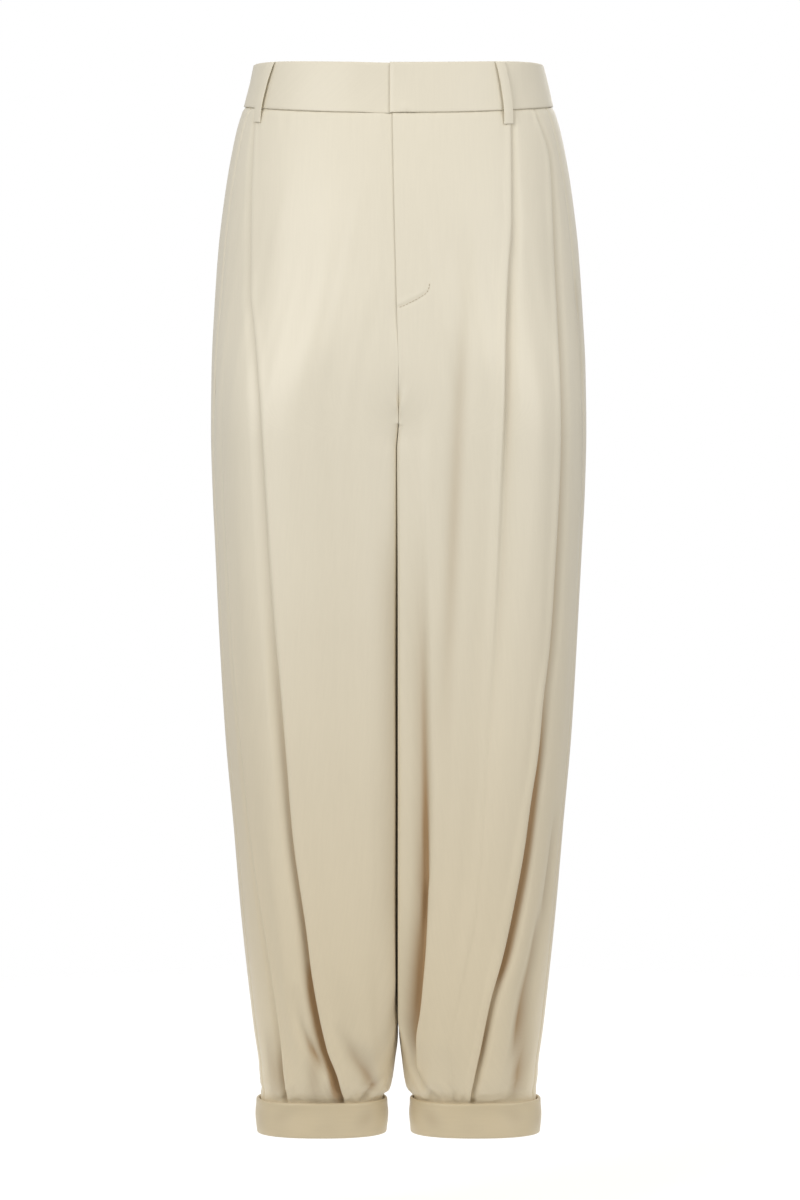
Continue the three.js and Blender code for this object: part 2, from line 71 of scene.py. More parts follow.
# fall, half width, reach to the front, reach to the back, inner side of the leg, squareness,
# squareness of the leg's inner half
SECTIONS = (
    (0, 138, 92, 88, 0.4, 2.3, 8),
    (22, 142.4, 95, 91, 0.4, 2.3, 8),
    (44, 147.5, 99, 95, 0.4, 2.3, 8),
    (66, 154.2, 104, 100, 0.4, 2.3, 8),
    (94, 160, 109.5, 107, 0.4, 2.3, 8),
    (123, 164.7, 114.5, 114, 0.4, 2.3, 8),
    (180, 171.4, 121, 123.5, 0.4, 2.3, 8),
    (238, 175.3, 124.5, 129, 0.4, 2.3, 8),
    (295, 178, 125.5, 129.5, 0.4, 2.32, 8),
    (354, 178.6, 124, 126, 0.4, 2.35, 8),
    (410, 177.2, 121.5, 121.5, 0.4, 2.38, 7.5),
    (467, 174.3, 119, 117.5, 0.4, 2.4, 7),
    (553, 170, 115, 112.5, 0.4, 2.38, 6.5),
    (639, 164.7, 110.5, 108.5, 0.4, 2.35, 6),
    (725, 157.1, 104.5, 104, 0.4, 2.32, 5.5),
    (811, 149.5, 97, 98, 0.4, 2.3, 5),
    (868, 143.7, 90, 92, 0.4, 2.3, 4.2),
    (925, 137.5, 78, 81, 0.8, 2.25, 3.3),
    (954, 133.5, 68, 71, 3.4, 2.25, 2.6),
    (970, 132.4, 60, 63, 5.6, 2.25, 2.4),
    (981, 130.6, 51, 54, 8.4, 2.25, 2.25),
    (986.8, 131.4, 41.1, 41.1, 15.0, 2.25, 2.25),
    (LEG_END, 131.4, 41.1, 41.1, 15.0, 2.25, 2.25),
)


class Side(Enum):
    """Which half of the garment a piece belongs to, as the wearer has it."""

    LEFT = 1
    RIGHT = -1

    @property
    def word(self) -> str:
        """The side's name in lower case."""
        return self.name.lower()


class Face(Enum):
    """Which face of the garment a fold or a loop lies on."""

    FRONT = "front"
    BACK = "back"


def smooth(value: np.ndarray | float, start: float, end: float) -> np.ndarray:
    """A soft step from 0 at start to 1 at end."""
    share = np.clip((np.asarray(value, float) - start) / (end - start), 0, 1)
    return share * share * (3 - 2 * share)


def bell(value: np.ndarray) -> np.ndarray:
    """A bell of height 1 and half width 1."""
    return np.exp(-value * value)


class Curve:
    """A smooth curve through stops that never overshoots them."""

    def __init__(self, stops: Sequence[float], values: Sequence[float]) -> None:
        """Works out the curve's slopes.

        Args:
            stops: where the values are given, rising.
            values: the value at each stop.
        """
        self.stops = np.asarray(stops, float)
        self.values = np.asarray(values, float)
        rise = np.diff(self.values) / np.diff(self.stops)
        before, after = rise[:-1], rise[1:]
        same_way = before * after > 0
        total = np.where(same_way, before + after, 1.0)
        inner = np.where(same_way, 2 * before * after / total, 0.0)
        self.slopes = np.concatenate(([rise[0]], inner, [rise[-1]]))

    def at(self, stop: np.ndarray | float) -> np.ndarray:
        """The value at a stop.

        Args:
            stop: one stop or an array of them.

        Returns:
            The values, in the same shape.
        """
        stop = np.clip(np.asarray(stop, float), self.stops[0], self.stops[-1])
        last = len(self.stops) - 2
        i = np.clip(np.searchsorted(self.stops, stop, side="right") - 1, 0, last)
        span = self.stops[i + 1] - self.stops[i]
        t = (stop - self.stops[i]) / span
        t2, t3 = t * t, t * t * t
        return (
            (2 * t3 - 3 * t2 + 1) * self.values[i]
            + (t3 - 2 * t2 + t) * span * self.slopes[i]
            + (3 * t2 - 2 * t3) * self.values[i + 1]
            + (t3 - t2) * span * self.slopes[i + 1]
        )


def curves(rows: Sequence[Sequence[float]]) -> list[Curve]:
    """One curve for each column of a table but its first, which holds the stops."""
    columns = list(zip(*rows))
    return [Curve(columns[0], column) for column in columns[1:]]


@dataclass(frozen=True)
class Dip:
    """How far an edge of the band dips at the front and drops at its side corners."""

    straight: float
    bowed: float
    corner: float

    def at(self, back: np.ndarray) -> np.ndarray:
        """The dip, from -1 at the front to 1 at the back."""
        side = (1 - back**2) ** 3
        return self.straight * back + self.bowed * back**2 + self.corner * side


class TrouserForm:
    """The smooth hollow form that every piece lies on."""

    STEPS = 1440
    PLACE_NUDGE = 0.8
    FALL_NUDGE = 1.5
    EASE = 22.0
    CROWDING = 0.995

    def __init__(self) -> None:
        """Reads the section table."""
        self.half, self.front, self.back, self.inner, self.square, self.square_inside = curves(SECTIONS)
        self.top_dip = Dip(-12.0, 4.0, 4.0)
        self.seam_dip = Dip(-13.3, 6.8, 0.0)

    def dip(self, fall: np.ndarray, back: np.ndarray) -> np.ndarray:
        """How far a point lies below its level row.

        Args:
            fall: way down from the band's top edge.
            back: -1 at the front to 1 at the back.

        Returns:
            The dips.
        """
        top, seam = self.top_dip.at(back), self.seam_dip.at(back)
        share = np.clip(fall / BAND_DEPTH, 0, 1)
        fade = 1 - smooth(fall, BAND_DEPTH, LEVEL_FALL)
        return np.where(fall < BAND_DEPTH, top + (seam - top) * share, seam * fade)

    def parting(self, fall: np.ndarray) -> np.ndarray:
        """How far the body has parted into two legs, 0 to 1, eased at both ends."""
        eases = np.linspace(-self.EASE, self.EASE, 9)
        return sum(smooth(fall + ease, SPLIT_START, CROTCH) for ease in eases) / len(eases)

    def point(self, fall: np.ndarray, angle: np.ndarray) -> np.ndarray:
        """Points of the form by their angle: -90 degrees is the front, 0 the side.

        Args:
            fall: way down, broadcast with angle.
            angle: angle round the leg or the body.

        Returns:
            Points, in millimetres.
        """
        half, inner = self.half.at(fall), self.inner.at(fall)
        centre = self.parting(fall) * (half + inner) / 2
        sine, cosine = np.sin(angle), np.cos(angle)
        power = 2 / np.where(cosine < 0, self.square_inside.at(fall), self.square.at(fall))
        back = np.sign(sine) * np.abs(sine) ** power
        x = centre + (half - centre) * np.sign(cosine) * np.abs(cosine) ** power
        y = back * np.where(back < 0, self.front.at(fall), self.back.at(fall))
        z = WAIST_TOP - fall - self.dip(fall, back)
        return np.stack(np.broadcast_arrays(x, y, z), axis=-1)

    def walk(self, falls: np.ndarray) -> tuple[np.ndarray, np.ndarray, np.ndarray]:
        """Walks each row from the centre front to the centre back.

        Args:
            falls: one fall for each row.

        Returns:
            Angles and lengths walked, rows by steps, and points, rows by steps by 3.
        """
        half, inner = self.half.at(falls), self.inner.at(falls)
        centre = self.parting(falls) * (half + inner) / 2
        cut = np.minimum((centre / (half - centre)) ** (self.square_inside.at(falls) / 2), 1)
        sweep = np.arccos(-cut)[:, None]
        even = np.linspace(-math.pi, math.pi, self.STEPS + 1)
        crowded = even - self.CROWDING / 4 * np.sin(4 * even)
        angles = np.clip(crowded[None, :], -sweep, sweep)
        points = self.point(falls[:, None], angles)
        step = np.hypot(np.diff(points[..., 0]), np.diff(points[..., 1]))
        lengths = np.concatenate((np.zeros((len(falls), 1)), np.cumsum(step, axis=1)), axis=1)
        return angles, lengths, points

    def length(self, falls: np.ndarray) -> np.ndarray:
        """The length round from the centre front to the centre back."""
        return self.walk(falls)[1][:, -1]

    def side_seam(self, falls: np.ndarray) -> np.ndarray:
        """The place of the side seam in each row."""
        angles, lengths, _ = self.walk(falls)
        pairs = zip(angles, lengths)
        return np.array([np.interp(SIDE_SEAM_ANGLE, angle, length) for angle, length in pairs])

    def place_across(self, falls: np.ndarray, across: np.ndarray, face: Face) -> np.ndarray:
        """The place of a point of the front or the back that lies this far across.

        Args:
            falls: one fall for each row.
            across: way from the centre, one for each row.
            face: the face that the point is on.

        Returns:
            One place for each row.
        """
        angles, lengths, points = self.walk(falls)
        found = []
        for angle, length, way, wanted in zip(angles, lengths, points[..., 0], across):
            if face is Face.FRONT:
                part = angle <= 0
                found.append(np.interp(wanted, way[part], length[part]))
            else:
                part = angle >= 0
                found.append(np.interp(wanted, way[part][::-1], length[part][::-1]))
        return np.array(found)

    def lie(self, falls: np.ndarray, places: np.ndarray) -> np.ndarray:
        """Points at places from 0 at the centre front, rows by columns by 3."""
        _, lengths, rings = self.walk(falls)
        found = [
            [np.interp(place, length, ring[:, axis]) for axis in range(3)]
            for place, length, ring in zip(places, lengths, rings)
        ]
        return np.moveaxis(np.array(found), 1, 2)

    def at(self, falls: np.ndarray, places: np.ndarray) -> tuple[np.ndarray, np.ndarray]:
        """Points and outward directions at places round, which are below 0 past the centre.

        Args:
            falls: one fall for each row.
            places: places, rows by columns.

        Returns:
            Points and unit directions, rows by columns by 3.
        """
        place = np.abs(places)
        points = self.lie(falls, place)
        nudge, step = self.PLACE_NUDGE, self.FALL_NUDGE
        round_it = self.lie(falls, place + nudge) - self.lie(falls, place - nudge)
        from_seam = place - self.side_seam(falls)[:, None]
        lower, upper = falls + step, falls - step
        down = self.lie(lower, from_seam + self.side_seam(lower)[:, None])
        down -= self.lie(upper, from_seam + self.side_seam(upper)[:, None])
        outward = np.cross(down, round_it)
        outward /= np.linalg.norm(outward, axis=-1, keepdims=True)
        past = places < 0
        points[past, 0] *= -1
        outward[past, 0] *= -1
        return points, outward


FORM = TrouserForm()


def deselect() -> None:
    """Leaves object mode with nothing selected."""
    if bpy.context.object and bpy.context.object.mode != "OBJECT":
        bpy.ops.object.mode_set(mode="OBJECT")
    bpy.ops.object.select_all(action="DESELECT")


def select(piece: bpy.types.Object) -> None:
    """Makes a piece the only selected one."""
    deselect()
    piece.select_set(True)
    bpy.context.view_layer.objects.active = piece


def grid_piece(name: str, points: np.ndarray, flat: np.ndarray, recess: np.ndarray) -> bpy.types.Object:
    """A grid primitive shaped to rows and columns of points.

    Args:
        name: the piece's name.
        points: rows by columns by 3, in millimetres; rows run down.
        flat: rows by columns by 2, where each point lies on the flat cloth, in millimetres.
        recess: rows by columns, how much painted shade each point takes by how deep in a fold it lies, 0 to
            1.

    Returns:
        The new piece, at the origin.
    """
    rows, columns = points.shape[:2]
    deselect()
    bpy.ops.mesh.primitive_grid_add(x_subdivisions=columns - 1, y_subdivisions=rows - 1, size=2)
    piece = bpy.context.object
    piece.name = piece.data.name = name
    mesh = piece.data
    count = len(mesh.vertices)
    if count != rows * columns:
        raise ValueError(f"{name}: grid of {count} points for {rows} x {columns}")
    laid = np.empty(count * 3)
    mesh.vertices.foreach_get("co", laid)
    laid = laid.reshape(-1, 3)
    row = np.rint((1 - laid[:, 1]) / 2 * (rows - 1)).astype(int)
    column = np.rint((laid[:, 0] + 1) / 2 * (columns - 1)).astype(int)
    mesh.vertices.foreach_set("co", (points[row, column] * MM).ravel())
    name_cloth_layers(piece, recess[row, column])
    lay_flat(piece, flat[row, column])
    return piece


def turn_outwards(piece: bpy.types.Object, centre: Sequence[float]) -> None:
    """Flips a sheet's faces where most look towards the inside.

    Args:
        piece: an open sheet.
        centre: a point inside the garment, in metres.
    """
    mesh = piece.data
    count = len(mesh.polygons)
    middles, normals = np.empty(count * 3), np.empty(count * 3)
    mesh.polygons.foreach_get("center", middles)
    mesh.polygons.foreach_get("normal", normals)
    away = middles.reshape(-1, 3) - np.array(centre)
    away[:, 2] = 0
    if (away * normals.reshape(-1, 3)).sum() < 0:
        select(piece)
        bpy.ops.object.mode_set(mode="EDIT")
        bpy.ops.mesh.select_all(action="SELECT")
        bpy.ops.mesh.flip_normals()
        bpy.ops.object.mode_set(mode="OBJECT")


def close_tube(piece: bpy.types.Object, near: float = 0.004) -> None:
    """Merges a rolled strip along its seam and at its pinched ends, and turns its faces out.

    Args:
        piece: the strip, whose first and last rows lie on each other.
        near: how near two points are merged, in millimetres.
    """
    select(piece)
    bpy.ops.object.mode_set(mode="EDIT")
    bpy.ops.mesh.select_all(action="SELECT")
    bpy.ops.mesh.remove_doubles(threshold=near * MM)
    bpy.ops.mesh.normals_make_consistent(inside=False)
    bpy.ops.object.mode_set(mode="OBJECT")


def thicken(piece: bpy.types.Object, thickness: float) -> None:
    """Gives an open sheet its thickness, inwards.

    Args:
        piece: the sheet, its faces outwards.
        thickness: in millimetres.
    """
    select(piece)
    wall = piece.modifiers.new("wall", "SOLIDIFY")
    wall.thickness = thickness * MM
    wall.offset = -1
    wall.use_even_offset = False
    bpy.ops.object.modifier_apply(modifier=wall.name)


def soften(piece: bpy.types.Object, angle: float = 50) -> None:
    """Shades a piece smooth, apart from edges sharper than an angle in degrees."""
    select(piece)
    bpy.ops.object.shade_smooth_by_angle(angle=math.radians(angle))
    deselect()


def name_cloth_layers(piece: bpy.types.Object, recess: np.ndarray | None = None) -> None:
    """Gives a primitive the UV map and the attribute that the finishes read.

    Args:
        piece: the piece, which has one UV map.
        recess: how much painted shade each point takes by how deep in a fold it lies, 0 to 1, or None for a
            piece without folds.
    """
    mesh = piece.data
    count = len(mesh.vertices)
    attribute = mesh.attributes.new("recess", "FLOAT", "POINT")
    attribute.data.foreach_set("value", np.zeros(count) if recess is None else recess.ravel().astype(float))
    mesh.uv_layers.active.name = "cloth"


def lay_flat(piece: bpy.types.Object, flat: np.ndarray) -> None:
    """Lays a piece's UV map on its flat cloth.

    Args:
        piece: the piece.
        flat: where each point lies on the flat cloth, in millimetres, points by 2.
    """
    mesh = piece.data
    corner = np.empty(len(mesh.loops), dtype=int)
    mesh.loops.foreach_get("vertex_index", corner)
    mesh.uv_layers["cloth"].uv.foreach_set("vector", (flat * MM)[corner].ravel())
    mesh.update()


def dress(piece: bpy.types.Object, material: bpy.types.Material, node: str | None) -> None:
    """Gives a finished piece its material and its place in the frame.

    Args:
        piece: the finished piece.
        material: its material.
        node: the solid that the piece stands for, or None for a piece that is sewn on.
    """
    piece.data.materials.append(material)
    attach(piece, "root")
    if node is not None:
        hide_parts(node)


class Wire:
    """A shader value: arithmetic on it adds the nodes that work it out."""

    def __init__(self, maker: "NodeMaker", socket: bpy.types.NodeSocket) -> None:
        """Wraps an output socket of one material's nodes."""
        self.maker = maker
        self.socket = socket

    def _maths(self, operation: str, first: Any, second: Any) -> "Wire":
        """Adds one Math node."""
        return self.maker.node("ShaderNodeMath", {"operation": operation}, {0: first, 1: second})

    def __add__(self, other: Any) -> "Wire":
        """Sum."""
        return self._maths("ADD", self, other)

    __radd__ = __add__

    def __sub__(self, other: Any) -> "Wire":
        """Difference."""
        return self._maths("SUBTRACT", self, other)

    def __rsub__(self, other: Any) -> "Wire":
        """Difference from a number."""
        return self._maths("SUBTRACT", other, self)

    def __mul__(self, other: Any) -> "Wire":
        """Product."""
        return self._maths("MULTIPLY", self, other)

    __rmul__ = __mul__


class NodeMaker:
    """Makes the nodes of one material."""

    def __init__(self, tree: bpy.types.NodeTree) -> None:
        """Starts on a node tree."""
        self.tree = tree

    def node(
        self,
        kind: str,
        settings: dict[str, Any] | None = None,
        inputs: dict[Any, Any] | None = None,
        output: Any = 0,
    ) -> Wire:
        """Adds a node.

        Args:
            kind: the node's type.
            settings: attributes that are set first; "stops" are a ramp's (place, colour) pairs.
            inputs: values or wires, by the socket's name or number.
            output: the output's name or number.

        Returns:
            The wire from that output.
        """
        made = self.tree.nodes.new(kind)
        for key, value in (settings or {}).items():
            if key == "stops":
                ramp = made.color_ramp
                while len(ramp.elements) < len(value):
                    ramp.elements.new(0.5)
                for element, (place, colour) in zip(ramp.elements, value):
                    element.position = place
                    element.color = colour
            else:
                setattr(made, key, value)
        for key, value in (inputs or {}).items():
            socket = made.inputs[key]
            if isinstance(value, Wire):
                self.tree.links.new(value.socket, socket)
            else:
                socket.default_value = value
        return Wire(self, made.outputs[output])

    def mix(self, share: Any, first: Any, second: Any, blend: str = "MIX") -> Wire:
        """A mix of two colours, given as wires or as RGBA values."""
        settings = {"data_type": "RGBA", "blend_type": blend}
        return self.node("ShaderNodeMix", settings, {0: share, 6: first, 7: second}, output=2)


@dataclass(frozen=True)
class ClothFinish:
    """How a cloth looks: its colours, with shade painted into its folds and towards its foot, its gloss and
    its weave.
    """

    name: str
    # The cloth's own colour, then painted shade: its colour towards the foot, in shallow folds and in deep
    # folds
    colour: tuple[float, float, float]
    painted_foot_shade: tuple[float, float, float]
    shade_colour: tuple[float, float, float]
    fold_shade_brown: tuple[float, float, float]
    roughness: float
    sheen: float
    specular: float
    weave: float

    # How often the threads and the slubs repeat in a metre, along the cloth and across it
    WARP = (900.0, 3600.0)
    SLUB = (26.0, 480.0)
    PATCHES = 7.0
    # Heights between which the cloth's colour darkens towards the foot, as painted shade
    LOW_FROM = -0.25
    LOW_TO = -0.98
    # The plain share, then what the slubs and the broad patches add
    TONE = (0.955, 0.05, 0.04)
    GLOSS = (-0.05, 0.06, 0.04)
    SLUB_RISE = 0.6
    WEAVE_DEPTH = 0.0002
    SHEEN_ROUGHNESS = 0.5

    def make(self) -> bpy.types.Material:
        """Builds the material.

        Returns:
            The material, with its nodes.
        """
        material = bpy.data.materials.new(self.name)
        material.use_nodes = True
        tree = material.node_tree
        shader = tree.nodes["Principled BSDF"]
        make = NodeMaker(tree)
        cloth = make.node("ShaderNodeUVMap", {"uv_map": "cloth"})
        threads, streaks = (
            self.yarns(make, cloth, repeats, detail)
            for repeats, detail in ((self.WARP, 1.0), (self.SLUB, 2.0))
        )
        place = make.node("ShaderNodeTexCoord", output="Object")
        broad = make.node(
            "ShaderNodeTexNoise", {}, {"Vector": place, "Scale": self.PATCHES, "Detail": 2.0}
        )
        # Painted shade towards the garment's foot: the colour darkens as the height falls
        parts = make.node("ShaderNodeSeparateXYZ", {}, {0: place}, output="Z")
        low = make.node(
            "ShaderNodeMapRange",
            {"interpolation_type": "SMOOTHSTEP"},
            {"Value": parts, "From Min": self.LOW_FROM, "From Max": self.LOW_TO},
        )
        # Painted shade in folds: the colour darkens by how deep a point lies in a fold, first to a grey
        # shade, then to a warm brown one
        recess = make.node("ShaderNodeAttribute", {"attribute_name": "recess"}, output="Fac")
        colour = make.mix(low, (*self.colour, 1), (*self.painted_foot_shade, 1))
        fold = make.mix(recess, (*self.shade_colour, 1), (*self.fold_shade_brown, 1))
        colour = make.mix(recess, colour, fold)
        tone = self.TONE[0] + self.TONE[1] * streaks + self.TONE[2] * broad
        grey = make.node("ShaderNodeCombineColor", {}, {0: tone, 1: tone, 2: tone})
        colour = make.mix(1.0, colour, grey, "MULTIPLY")
        gloss = (self.roughness + self.GLOSS[0]) + self.GLOSS[1] * streaks + self.GLOSS[2] * broad
        rise = threads + self.SLUB_RISE * streaks
        bump = make.node(
            "ShaderNodeBump",
            {},
            {"Strength": self.weave, "Distance": self.WEAVE_DEPTH, "Height": rise},
        )
        links = tree.links
        links.new(colour.socket, shader.inputs["Base Color"])
        links.new(gloss.socket, shader.inputs["Roughness"])
        links.new(bump.socket, shader.inputs["Normal"])
        shader.inputs["Sheen Weight"].default_value = self.sheen
        shader.inputs["Sheen Roughness"].default_value = self.SHEEN_ROUGHNESS
        shader.inputs["Specular IOR Level"].default_value = self.specular
        return material

    def yarns(self, make: NodeMaker, cloth: Wire, repeats: tuple[float, float], detail: float) -> Wire:
        """Noise drawn out along the cloth's threads.

        Args:
            make: the material's node maker.
            cloth: places on the flat cloth.
            repeats: how often it repeats in a metre, along the cloth and across it.
            detail: how fine the noise is.

        Returns:
            The noise, 0 to 1.
        """
        scale = (repeats[1], repeats[0], 1.0)
        drawn = make.node("ShaderNodeMapping", {}, {"Vector": cloth, "Scale": scale})
        return make.node("ShaderNodeTexNoise", {}, {"Vector": drawn, "Scale": 1.0, "Detail": detail})


SATIN = ClothFinish(
    name="champagne_satin",
    colour=(0.80, 0.745, 0.61),
    painted_foot_shade=(0.76, 0.66, 0.475),
    shade_colour=(0.52, 0.465, 0.34),
    fold_shade_brown=(0.42, 0.27, 0.135),
    roughness=0.42,
    sheen=0.12,
    specular=0.45,
    weave=0.25,
)
# A darker copy of the satin for the cuffs: its darker tone is painted shade
SHADED_CUFF_SATIN = replace(
    SATIN,
    name="champagne_satin_cuff_painted_shade",
    colour=(0.63, 0.535, 0.365),
    painted_foot_shade=(0.60, 0.505, 0.34),
)
POCKETING = ClothFinish(
    name="plain_pocketing",
    colour=(0.70, 0.63, 0.49),
    painted_foot_shade=(0.68, 0.59, 0.44),
    shade_colour=(0.55, 0.48, 0.36),
    fold_shade_brown=(0.55, 0.41, 0.26),
    roughness=0.7,
    sheen=0.1,
    specular=0.25,
    weave=0.4,
)
# The stitches' thread, darker than the satin: partly the thread's own colour, partly painted shade of the
# groove the stitches sink into
STITCHING_AND_GROOVE_SHADE = ClothFinish(
    name="stitching_and_groove_shade",
    colour=(0.50, 0.42, 0.29),
    painted_foot_shade=(0.50, 0.42, 0.29),
    shade_colour=(0.5, 0.42, 0.29),
    fold_shade_brown=(0.5, 0.4, 0.25),
    roughness=0.5,
    sheen=0.1,
    specular=0.4,
    weave=0.0,
)


@dataclass(frozen=True)
class Swell:
    """A soft trough or ridge laid on a panel: below 0 its depth makes a ridge.

    Rows hold the fall, the way across, the depth and the half width.
    """

    rows: tuple[tuple[float, float, float, float], ...]
    face: Face = Face.FRONT

    def lift(self, falls: np.ndarray, places: np.ndarray) -> np.ndarray:
        """How far the swell moves each point of a panel out.

        Args:
            falls: one fall for each row.
            places: places, rows by columns.

        Returns:
            Lifts, rows by columns.
        """
        across, depth, spread = (curve.at(falls) for curve in curves(self.rows))
        middle = FORM.place_across(falls, across, self.face)
        start, end = self.rows[0][0], self.rows[-1][0]
        inside = (falls >= start) & (falls <= end)
        shape = bell((places - middle[:, None]) / spread[:, None])
        return -np.where(inside, depth, 0)[:, None] * shape


@dataclass(frozen=True)
class Pleat:
    """A pleat whose upper layer lies on the centre side, or on the outer side, and folds under.

    Rows hold the fall, the way across, the depth, the spread and how far the cloth goes under.
    """

    rows: tuple[tuple[float, float, float, float, float], ...]
    face: Face = Face.FRONT
    edge: float = 0.13
    crest: float = 0.2
    columns: int = 30
    turn: int = 1

    # How closely the columns stand at the edge, how steep the step there is, and the crest beside it
    CROWDING = 2.6
    STEEPNESS = 1.9
    CREST_MIDDLE = -0.2
    CREST_HALF = 0.28

    def shares(self) -> np.ndarray:
        """The pleat's columns, from -1 on its centre side to 1, close together at its edge."""
        even = np.linspace(-1, 1, self.columns)
        return np.sinh(self.CROWDING * even) / math.sinh(self.CROWDING)

    def lay(self, falls: np.ndarray) -> tuple[np.ndarray, np.ndarray, np.ndarray]:
        """Lays the pleat's columns.

        Args:
            falls: one fall for each row.

        Returns:
            Places on the smooth form, places where the cloth lies, and lifts, rows by columns.
        """
        across, depth, spread, under = (curve.at(falls)[:, None] for curve in curves(self.rows))
        middle = FORM.place_across(falls, across[:, 0], self.face)[:, None]
        share = self.shares()[None, :]
        plain = middle + share * spread
        share = share * self.turn
        x = share / self.edge
        tuck = x * np.exp((1 - x * x) / 2)
        place = plain - self.turn * under * spread * self.edge * tuck
        crest = self.crest * bell((share - self.CREST_MIDDLE) / self.CREST_HALF)
        drop = 1 / (1 + np.exp(-self.STEEPNESS * x)) * (1 - smooth(share, 0, 1))
        return plain, place, depth * (crest * (1 - smooth(-share, 0.5, 1)) - drop)


@dataclass(frozen=True)
class Anchor:
    """One plain column at a fixed way across, which keeps its neighbours from drifting."""

    across: float
    face: Face = Face.FRONT

    def lay(self, falls: np.ndarray) -> tuple[np.ndarray, np.ndarray, np.ndarray]:
        """Lays the column: its plain places, the same places again, and no lift."""
        across = self.across + FORM.inner.at(falls)
        place = FORM.place_across(falls, across, self.face)[:, None]
        return place, place, np.zeros_like(place)


# The left front's pleats, with the wearer's left on the photograph's right
LOOP_PLEAT_LEFT = Pleat(
    (
        (44, 104, 1.6, 8, 0.7),
        (60, 104, 2.4, 9, 1.2),
        (157, 104, 3.0, 13, 1.2),
        (207, 101, 3.6, 14, 1.1),
        (260, 99, 4.4, 15, 0.8),
        (331, 97.7, 4.6, 16, 0.4),
        (430, 94, 3.4, 17, 0.0),
        (515, 90, 2.6, 17, 0.0),
        (640, 82, 1.2, 15, 0.0),
        (800, 72, 0.6, 11, 0.0),
        (884, 56, 0.3, 8, 0.0),
        (932, 48, 0.2, 6, 0.0),
        (982, 50, 0.2, 5, 0.0),
        (995, 55, 0, 4, 0.0),
    )
)
POCKET_PLEAT_LEFT = Pleat(
    (
        (44, 127, 1.6, 7, 0.7),
        (95, 141, 3, 12, 1.1),
        (188, 145, 4.5, 15, 0.9),
        (270, 148.6, 5.5, 16, 0.5),
        (356, 151, 6.0, 16, 0.3),
        (515, 144.3, 6.8, 17, 0.3),
        (561, 140.8, 7.0, 17, 0.35),
        (608, 134.8, 7.2, 17, 0.4),
        (654, 130.5, 7.4, 17, 0.5),
        (700, 123, 7.8, 17, 0.9),
        (747, 115.8, 8.4, 18, 1.3),
        (794, 106.8, 8.8, 18, 1.5),
        (840, 96.8, 8.6, 17, 1.6),
        (887, 84.2, 7.5, 12, 1.6),
        (933, 75.5, 7.5, 12, 1.6),
        (964, 69.5, 6.5, 11, 1.6),
        (982, 67, 4.6, 9, 1.4),
        (995, 67, 2, 6, 1.0),
    )
)
INNER_PLEAT_LEFT = Pleat(
    (
        (44, 26, 0, 5, 0.0),
        (650, 26.5, 0, 6, 0.0),
        (765, 27.5, 1.5, 7, 0.3),
        (790, 26.6, 4.5, 7, 1.0),
        (836, 24.4, 3.0, 7, 0.6),
        (882, 21, 5.0, 7, 1.1),
        (928, 17, 6.0, 6, 1.3),
        (950, 16.5, 4, 5, 0.8),
        (965, 18, 0, 4, 0.0),
        (995, 30, 0, 4, 0.0),
    ),
    columns=20,
    turn=-1,
)
LOOP_PLEAT_RIGHT = Pleat(
    (
        (44, 133, 1.2, 5, 0.5),
        (60, 134.5, 1.8, 7, 0.7),
        (98, 136, 1.6, 11, 0.8),
        (151, 137, 1.5, 12, 0.7),
        (225, 137, 1.6, 13, 0.5),
        (277, 132, 2.0, 14, 0.4),
        (375, 125, 2.6, 15, 0.3),
        (515, 116.5, 3, 16, 0.2),
        (608, 108.2, 5, 16, 0.5),
        (659, 103.2, 6, 16, 1.0),
        (735, 96.1, 7, 15, 1.5),
        (822, 83.5, 8.2, 15, 1.7),
        (865, 78, 8.8, 16, 1.8),
        (933, 65, 9.8, 15, 1.8),
        (961, 55.8, 9.5, 13, 1.6),
        (975, 52.8, 8.5, 12, 1.5),
        (984, 51, 6, 10, 1.3),
        (995, 50.5, 3, 7, 1.0),
    )
)
HEM_PLEAT_RIGHT = Pleat(
    (
        (44, 138.6, 0, 1.6, 0.0),
        (98, 150.5, 0, 4, 0.0),
        (188, 159, 0, 4, 0.0),
        (260, 161, 0, 5, 0.0),
        (375, 164, 0.5, 8, 0.0),
        (515, 158, 1.2, 9, 0.0),
        (735, 138, 1.6, 9, 0.0),
        (868, 118, 2.0, 9, 0.3),
        (924, 110.5, 3.6, 11, 0.8),
        (960, 107, 7.6, 13, 1.5),
        (982, 104.5, 6, 11, 1.4),
        (995, 103.5, 2, 8, 0.8),
    ),
    columns=22,
)
BACK_PLEAT = Pleat(
    (
        (44, 74, 1.4, 8, 0.8),
        (90, 76, 2.8, 11, 1.1),
        (200, 80, 3.2, 13, 0.9),
        (354, 84, 3, 13, 0.3),
        (515, 82, 2.5, 13, 0.0),
        (700, 74, 3.5, 13, 0.2),
        (860, 67, 5, 13, 0.9),
        (940, 66, 6.5, 12, 1.4),
        (975, 68, 4, 9, 1.4),
        (995, 70, 1.5, 6, 0.8),
    ),
    face=Face.BACK,
    columns=26,
)

